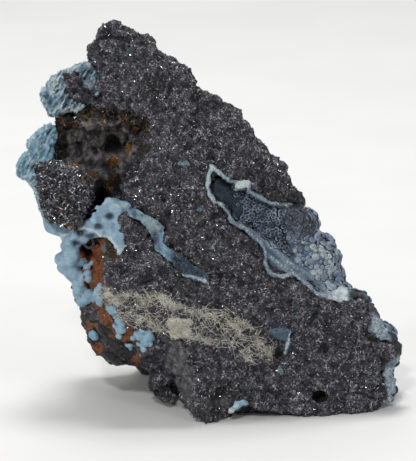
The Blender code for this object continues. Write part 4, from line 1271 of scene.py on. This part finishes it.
class RockLook(bpy.types.PropertyGroup):
    """Sizes and colours of the host rock."""

    cell: length_setting("Skin cell", "Size of the squares of the rock's skin", 0.00034)
    most_triangles: IntProperty(name="Most triangles", default=190000, min=1000,
                                description="Triangles left after thinning the hidden side")
    chip_size: length_setting("Chip size", "Size of the broken chips", 0.0046)
    chip_height: length_setting("Chip height", "Height of the steps between chips", 0.0018)
    knot_height: length_setting("Knot height", "Height of the small knots", 0.00042)
    felt_height: length_setting("Felt height", "Height of the finest relief", 0.00022)
    dark: colour_setting("Dark", "Colour between the fibres", (0.005, 0.005, 0.008))
    grey: colour_setting("Grey", "Colour of the fibres", (0.31, 0.30, 0.36))
    # Glint paints highlights into the rock's colour
    glint: colour_setting("Glint", "Colour of the brightest fibres", (0.75, 0.75, 0.82))
    brown: colour_setting("Brown", "Colour of the duller, browner places", (0.034, 0.029, 0.028))
    rust: colour_setting("Rust", "Colour of the rusty places", (0.32, 0.105, 0.028))
    speck: colour_setting("Speck", "Colour of the pale specks on the front", (0.22, 0.33, 0.38))


class CrystalLook(bpy.types.PropertyGroup):
    """Sizes and colours of the crystals that cover the rock."""

    length: length_setting("Blade length", "Length of a middling blade", 0.0008)
    width: length_setting("Blade width", "Width of a blade", 0.00016)
    thickness: length_setting("Blade thickness", "Thickness of a blade", 0.00007)
    front_density: number_setting("Front density", "Blades per square metre on the front face", 5.2e6)
    side_density: number_setting("Side density", "Blades per square metre elsewhere", 1.9e6)
    dark: colour_setting("Dark", "Colour of the darkest blades", (0.012, 0.012, 0.014))
    light: colour_setting("Light", "Colour of the lightest blades", (0.95, 0.95, 1.0))
    gold: colour_setting("Gold", "Colour of the druse's golden grains", (0.75, 0.40, 0.09))
    seed: IntProperty(name="Seed", description="Where the blades lie", default=4)


class CrustLook(bpy.types.PropertyGroup):
    """Sizes and colours of the shattuckite."""

    cell: length_setting("Skin cell", "Size of the squares of the large crusts' skin", 0.00026)
    small_cell: length_setting("Small skin cell", "Size of the squares of the small crusts' skin", 0.00016)
    grow: length_setting("Growth", "How far a crust grows to meet the rock", 0.0003)
    fibre_length: length_setting("Fibre length", "Length of a middling fibre", 0.0007)
    fibre_width: length_setting("Fibre width", "Width of a fibre", 0.00011)
    fibre_density: number_setting("Fibre density", "Fibres per square metre", 7e6)
    small_ball: length_setting("Small ball", "Width of a middling ball inside the pocket", 0.00105)
    large_ball: length_setting("Large ball", "Width of a middling ball outside the pocket", 0.0015)
    blue: colour_setting("Blue", "Main colour", (0.20, 0.305, 0.39))
    light: colour_setting("Light blue", "Colour of the lighter places", (0.31, 0.44, 0.535))
    mid: colour_setting("Middle blue", "Colour of the mottling", (0.11, 0.18, 0.24))
    # Deep blue paints the shade in the crusts' hollows, and tints the navy places
    deep: colour_setting("Deep blue", "Colour of the hollows", (0.026, 0.036, 0.066))
    navy: colour_setting("Navy", "Colour of the pocket's inside", (0.006, 0.008, 0.018))
    slate: colour_setting("Slate", "Darker colour of the pocket's right half", (0.032, 0.040, 0.075))
    dusk: colour_setting("Dusk", "Lighter colour of the pocket's right half", (0.155, 0.18, 0.26))
    # Rim paints the highlight on the crusts' ridges, and is the pale edges' own colour
    rim: colour_setting("Rim", "Colour of the ridges and edges", (0.36, 0.43, 0.48))
    white: colour_setting("White", "Colour of the palest edges", (0.55, 0.60, 0.57))
    teal: colour_setting("Teal", "Colour of the greener places", (0.17, 0.38, 0.49))
    cream: colour_setting("Cream", "Colour of the creamy middle of the vein", (0.38, 0.45, 0.36))
    rust: colour_setting("Rust", "Colour of the rusty places", (0.30, 0.095, 0.025))
    ring: colour_setting("Ring", "Colour of the rings around the pocket's balls", (0.30, 0.34, 0.42))


class MatLook(bpy.types.PropertyGroup):
    """Sizes and colours of the cream needle mat."""

    density: number_setting("Density", "Needles per square metre", 1.6e7)
    needle_length: length_setting("Needle length", "Length of a middling long needle", 0.0024)
    needle_width: length_setting("Needle width", "Width of one needle", 0.000060)
    loft: length_setting("Loft", "How high the needles lie over the rock at most", 0.0010)
    slant: FloatProperty(name="Slant", description="How far the needles point down to the right",
                         default=0.35, subtype="ANGLE", unit="ROTATION")
    cream: colour_setting("Cream", "Main colour", (0.88, 0.87, 0.78))
    straw: colour_setting("Straw", "Warmer colour", (0.66, 0.62, 0.50))
    ash: colour_setting("Ash", "Duller colour", (0.30, 0.30, 0.28))
    lump: colour_setting("Lump", "Colour of the solid lumps", (0.46, 0.43, 0.36))


class StageLook(bpy.types.PropertyGroup):
    """Floor, light and camera."""

    floor: colour_setting("Floor", "Colour of the floor", (0.77, 0.77, 0.755))
    sky: number_setting("Sky", "Strength of the light from all around", 0.30)
    key: number_setting("Key", "Power of the lights above, in front and at the left, in watts", 4.5)
    fill: number_setting("Fill", "Power of the light at the right, in watts", 0.6)
    back: number_setting("Back", "Power of the light on the floor behind, in watts", 1.9)


# Operators


def lay_needles(look, name, base, tree, cream, length, spread, share, loft, seed):
    """Lay needles on a base; length and density are shares of the mat's settings."""
    piece = grow_on(name, base, tree, {
        "Length": look.needle_length * length, "Width": look.needle_width, "Thickness": look.needle_width,
        "Per Square Metre": look.density * share, "Spread": spread, "Lift": loft, "Most Tilt": 0.3,
        "Heading": (math.cos(look.slant), 0.0, -math.sin(look.slant)), "Seed": seed, "Material": cream,
    })
    finish_piece(piece, cream, "cream_needles")


def bare_rock(mesh):
    """1 where a vertex of the rock is open to the air, 0 under a crust and at the foot."""
    crusts = [tree_of(bpy.data.objects[name]) for name in CRUSTS]
    points, normals = coordinates(mesh), vertex_normals(mesh)
    bare = np.ones(len(points))
    for n, (place, normal) in enumerate(zip(points.tolist(), normals.tolist())):
        start, way = Vector(place), Vector(normal)
        if any(crust.find_nearest(start, CRUST_REACH)[0] or crust.ray_cast(start, way, CRUST_COVER)[0]
               for crust in crusts):
            bare[n] = 0.0
    return bare * soft_step(points[:, 2], 0.0003, 0.001)


class SPECIMEN_OT_host_rock(bpy.types.Operator):
    """Make the felted host rock"""

    bl_idname = "specimen.host_rock"
    bl_label = "Host rock"

    def execute(self, context):
        look = context.scene.rock_look
        finish_piece(rock_skin(look), rock_material(look), "host_rock", "matrix")
        return {"FINISHED"}


class SPECIMEN_OT_left_crust(bpy.types.Operator):
    """Make the blue crust and vein on the left"""

    bl_idname = "specimen.left_crust"
    bl_label = "Left crust"

    def execute(self, context):
        look = context.scene.crust_look
        crust = left_crust(look, tree_of(bpy.data.objects["host_rock"]))
        blue = blue_material("smooth shattuckite", look)
        finish_piece(crust, blue, "shattuckite", "left_shattuckite_crust")
        return {"FINISHED"}


class SPECIMEN_OT_right_crust(bpy.types.Operator):
    """Make the blue lining and balls on the right"""

    bl_idname = "specimen.right_crust"
    bl_label = "Right crust"

    def execute(self, context):
        look = context.scene.crust_look
        crust = right_crust(look)
        blue = blue_material("balls of shattuckite", look, True)
        finish_piece(crust, blue, "shattuckite", "right_botryoidal_crust")
        tree = ball_tree("round balls")
        kinds = (("pocket_balls", look.small_ball), ("outer_balls", look.large_ball))
        for seed, (name, spacing) in enumerate(kinds):
            keep_values(crust.data, density=lane_values(crust.data, name))
            piece = grow_on(name, crust, tree, {"Spacing": spacing, "Seed": 80 + seed, "Material": blue})
            finish_piece(piece, blue, "shattuckite")
        return {"FINISHED"}


class SPECIMEN_OT_small_blue(bpy.types.Operator):
    """Make the upper blue mass, the knobs, the vug's lining and the spot at the base"""

    bl_idname = "specimen.small_blue"
    bl_label = "Small blue pieces"

    def execute(self, context):
        look = context.scene.crust_look
        blue = blue_material("fibrous shattuckite", look)
        rock = tree_of(bpy.data.objects["host_rock"])
        finish_piece(upper_mass(look), blue, "shattuckite", "upper_shattuckite")
        names = ["vug_lining", "base_shattuckite"] + ["blue_knob_%d" % n for n in range(1, 6)]
        for seed, node in enumerate(names):
            finish_piece(small_blue(node + "_skin", node, look, 60 + seed, rock), blue, "shattuckite", node)
        return {"FINISHED"}


class SPECIMEN_OT_crystals(bpy.types.Operator):
    """Scatter blades and golden grains on the rock where no crust covers it"""

    bl_idname = "specimen.crystals"
    bl_label = "Crystals"

    def execute(self, context):
        look = context.scene.crystal_look
        rock = bpy.data.objects["host_rock"]
        bare = bare_rock(rock.data)
        front, plain, wall, druse, rust, gold, gap, mat = (
            lane_values(rock.data, name)
            for name in ("front", "plain", "wall", "druse", "rust", "gold", "gap", "mat"))
        felt = bare * (1 - 0.75 * plain) * (1 - 0.9 * wall) * (1 - 0.8 * rust)
        felt *= (1 - gap) * (1 - 0.6 * druse) * (1 - 0.6 * mat)
        columns, rows, _ = picture(coordinates(rock.data))
        lobe = region(columns, rows, LEFT_LOBE, 3.0) * soft_step(wall + druse, 0.5, 0.1)
        blades = blade_material("rock blades", look.dark, look.light, 0.16, 0.75)
        grains = blade_material("golden grains", (0.03, 0.012, 0.004), look.gold, 0.25, 0.4)
        bristles = blade_material("brown druse", (0.006, 0.005, 0.004), (0.10, 0.085, 0.06), 0.25, 0.2)
        tree = crystal_tree("blades on rock", pointed_blade)
        small = {"Length": look.length, "Width": look.width, "Thickness": look.thickness}
        large = {"Length": 1.4 * look.length, "Width": 2.2 * look.width, "Thickness": 2.2 * look.thickness}
        thick, thin = {"Per Square Metre": look.front_density}, {"Per Square Metre": look.side_density}
        grain = {"Length": 0.00048, "Width": 0.0003, "Thickness": 0.00024, "Per Square Metre": 9e6}
        # Name, where they grow, material, seed and the tree's other values
        for name, density, material, seed, values in (
            ("front_blades", felt * front * (1 - lobe), blades, 0, {**small, **thick}),
            ("side_blades", felt * (1 - front) * (1 - lobe), blades, 1, {**small, **thin}),
            ("lobe_blades", bare * lobe, blades, 3, {**large, **thick, "Most Tilt": 1.2}),
            ("cavity_druse", bare * druse * (1 - 0.6 * wall), bristles, 4,
             {**large, **thick, "Least Tilt": 0.4, "Most Tilt": 1.5}),
            ("golden_grains", bare * np.maximum(gold, 0.10 * druse), grains, 2, {**grain, "Most Tilt": 1.5}),
        ):
            keep_values(rock.data, density=density)
            piece = grow_on(name, rock, tree, {**values, "Seed": look.seed + seed, "Material": material})
            finish_piece(piece, material, "host_rock")
            piece.data.shade_flat()
        return {"FINISHED"}


class SPECIMEN_OT_blue_fibres(bpy.types.Operator):
    """Grow short fibres on the ragged blue sheets"""

    bl_idname = "specimen.blue_fibres"
    bl_label = "Blue fibres"

    def execute(self, context):
        look = context.scene.crust_look
        tree = crystal_tree("fibres on crust", pointed_blade)
        pale = blade_material("blue fibres", look.mid, look.rim, 0.4, 0.0)
        deep = blade_material("deep blue fibres", look.navy, look.rim, 0.4, 0.0)
        jobs = (("left_crust", pale), ("right_crust", pale), ("upper_mass", pale), ("vug_lining_skin", deep))
        for seed, (name, fibre) in enumerate(jobs):
            crust = bpy.data.objects[name]
            keep_values(crust.data, density=lane_values(crust.data, "fuzz"))
            piece = grow_on(name + "_fibres", crust, tree, {
                "Length": look.fibre_length, "Width": look.fibre_width, "Thickness": look.fibre_width,
                "Per Square Metre": look.fibre_density, "Least Tilt": 0.1, "Most Tilt": 1.3,
                "Seed": 30 + seed, "Material": fibre,
            })
            finish_piece(piece, fibre, "shattuckite")
        return {"FINISHED"}


class SPECIMEN_OT_needle_mat(bpy.types.Operator):
    """Lay the cream needle mat: long and short bent needles and matted lumps"""

    bl_idname = "specimen.needle_mat"
    bl_label = "Needle mat"

    def execute(self, context):
        look = context.scene.mat_look
        rock = bpy.data.objects["host_rock"]
        points = coordinates(rock.data)
        columns, rows, _ = picture(points)
        clumps = 0.08 + 0.92 * soft_step(noise_at(points, 1.4, 53, 4), 0.0, 0.2)
        near = np.minimum.reduce([line_distance(columns, rows, bundle) for bundle in MAT_BUNDLES])
        thick = 0.22 + 0.78 * soft_step(near, 5.0, 1.5)
        keep_values(rock.data, density=lane_values(rock.data, "mat") * clumps * thick)
        cream = cream_material(look)
        tree = crystal_tree("web of needles", bent_needle)
        for name, length, spread, share, seed in (
            ("mat_needles", 1.0, 1.1, 0.45, 70), ("mat_fluff", 0.5, 1.6, 0.6, 65),
        ):
            lay_needles(look, name, rock, tree, cream, length, spread, share, look.loft, seed)
        chunks = mat_chunks(tree_of(rock))
        finish_piece(chunks, lump_material(look), "cream_needles", "needle_mat")
        keep_values(chunks.data, density=np.ones(len(chunks.data.vertices)))
        lay_needles(look, "lump_needles", chunks, tree, cream, 0.5, 0.5, 0.6, LUMP_LOFT, 75)
        return {"FINISHED"}


class SPECIMEN_OT_stage(bpy.types.Operator):
    """Set the floor, the light and the camera"""

    bl_idname = "specimen.stage"
    bl_label = "Stage"

    def execute(self, context):
        look = context.scene.stage_look
        scene = context.scene
        plane = bmesh.new()
        bmesh.ops.create_grid(plane, x_segments=1, y_segments=1, size=FLOOR_REACH)
        mesh = bpy.data.meshes.new("floor")
        plane.to_mesh(mesh)
        plane.free()
        floor = to_object("floor", mesh)
        pale = Finish("pale floor")
        colour = pale.blend(pale.fit(pale.grain(60.0), 0.3, 0.7), look.floor, [v * 0.97 for v in look.floor])
        mesh.materials.append(pale.dress(Base_Color=colour, Roughness=0.9, Specular_IOR_Level=0.1))
        world = bpy.data.worlds.new("studio")
        world.use_nodes = True
        back = world.node_tree.nodes["Background"]
        back.inputs["Color"].default_value = (0.97, 0.985, 1.0, 1.0)
        back.inputs["Strength"].default_value = look.sky
        scene.world = world
        # Name, place, width, power and what it is aimed at
        for name, place, size, power, target in (
            ("key", (-0.02, 0.22, 0.68), 0.2, 0.66 * look.key, MIDDLE),
            ("glint", (-0.12, -0.55, 0.48), 0.07, 0.38 * look.key, MIDDLE),
            ("side", (-0.62, -0.25, 0.28), 0.08, 0.24 * look.key, MIDDLE),
            ("fill", (0.45, -0.50, 0.30), 0.1, look.fill, MIDDLE),
            ("back", (-0.05, 0.80, 0.60), 0.5, look.back, FLOOR_BEHIND),
        ):
            light = bpy.data.lights.new(name, "AREA")
            light.energy = power
            light.size = size
            lamp = bpy.data.objects.new(name, light)
            scene.collection.objects.link(lamp)
            lamp.location = place
            lamp.rotation_euler = (target - Vector(place)).to_track_quat("-Z", "Y").to_euler()
        camera = bpy.data.objects.new("camera", bpy.data.cameras.new("camera"))
        camera.data.sensor_fit = "HORIZONTAL"
        camera.data.sensor_width = SENSOR_WIDTH
        camera.data.lens = SENSOR_WIDTH * VIEW_DISTANCE / PICTURE_WIDTH
        camera.data.clip_start = 0.01
        camera.data.clip_end = 20.0
        scene.collection.objects.link(camera)
        camera.location = sight(0.0, VIEW_HEIGHT, 0.0) - SIGHT_LINE * VIEW_DISTANCE * MM
        camera.rotation_euler = SIGHT_LINE.to_track_quat("-Z", "Y").to_euler()
        scene.camera = camera
        scene.view_settings.view_transform = "Standard"
        return {"FINISHED"}


CRUSTS = ["left_crust", "right_crust", "upper_mass", "vug_lining_skin", "base_shattuckite_skin"] + [
    "blue_knob_%d_skin" % n for n in range(1, 6)
]
# How near a crust hides the rock, and how far out it still overhangs it, in metres
CRUST_REACH = 0.0004
CRUST_COVER = 0.003

# How high the needles lie over the lumps at most, in metres
LUMP_LOFT = 0.0001

# Half the floor's width, and what the lights are aimed at, in metres
FLOOR_REACH = 6.0
MIDDLE = Vector((0.0, 0.0, 0.035))
FLOOR_BEHIND = Vector((-0.05, 0.50, 0.0))

STEPS = [
    SPECIMEN_OT_host_rock, SPECIMEN_OT_left_crust, SPECIMEN_OT_right_crust, SPECIMEN_OT_small_blue,
    SPECIMEN_OT_blue_fibres, SPECIMEN_OT_crystals, SPECIMEN_OT_needle_mat, SPECIMEN_OT_stage,
]


class SPECIMEN_PT_panel(bpy.types.Panel):
    """Lists the specimen's steps and settings"""

    bl_idname = "SPECIMEN_PT_panel"
    bl_label = "Shattuckite specimen"
    bl_space_type = "VIEW_3D"
    bl_region_type = "UI"
    bl_category = "Specimen"

    def draw(self, context):
        for step in STEPS:
            self.layout.operator(step.bl_idname)
        for group in LOOKS:
            look = getattr(context.scene, group)
            box = self.layout.box()
            for name in look.bl_rna.properties.keys():
                if name not in ("rna_type", "name"):
                    box.prop(look, name)


LOOKS = {
    "rock_look": RockLook, "crystal_look": CrystalLook, "crust_look": CrustLook, "mat_look": MatLook,
    "stage_look": StageLook,
}


def register():
    """Make the settings, the operators and the panel known to Blender."""
    for kind in [*LOOKS.values(), *STEPS, SPECIMEN_PT_panel]:
        bpy.utils.register_class(kind)
    for name, kind in LOOKS.items():
        setattr(bpy.types.Scene, name, PointerProperty(type=kind))


def unregister():
    """Take them away again."""
    for name in LOOKS:
        delattr(bpy.types.Scene, name)
    for kind in reversed([*LOOKS.values(), *STEPS, SPECIMEN_PT_panel]):
        bpy.utils.unregister_class(kind)


def main():
    """Make the whole specimen and its stage."""
    register()
    for step in STEPS:
        group, name = step.bl_idname.split(".")
        getattr(getattr(bpy.ops, group), name)()


if __name__ == "__main__":
    main()
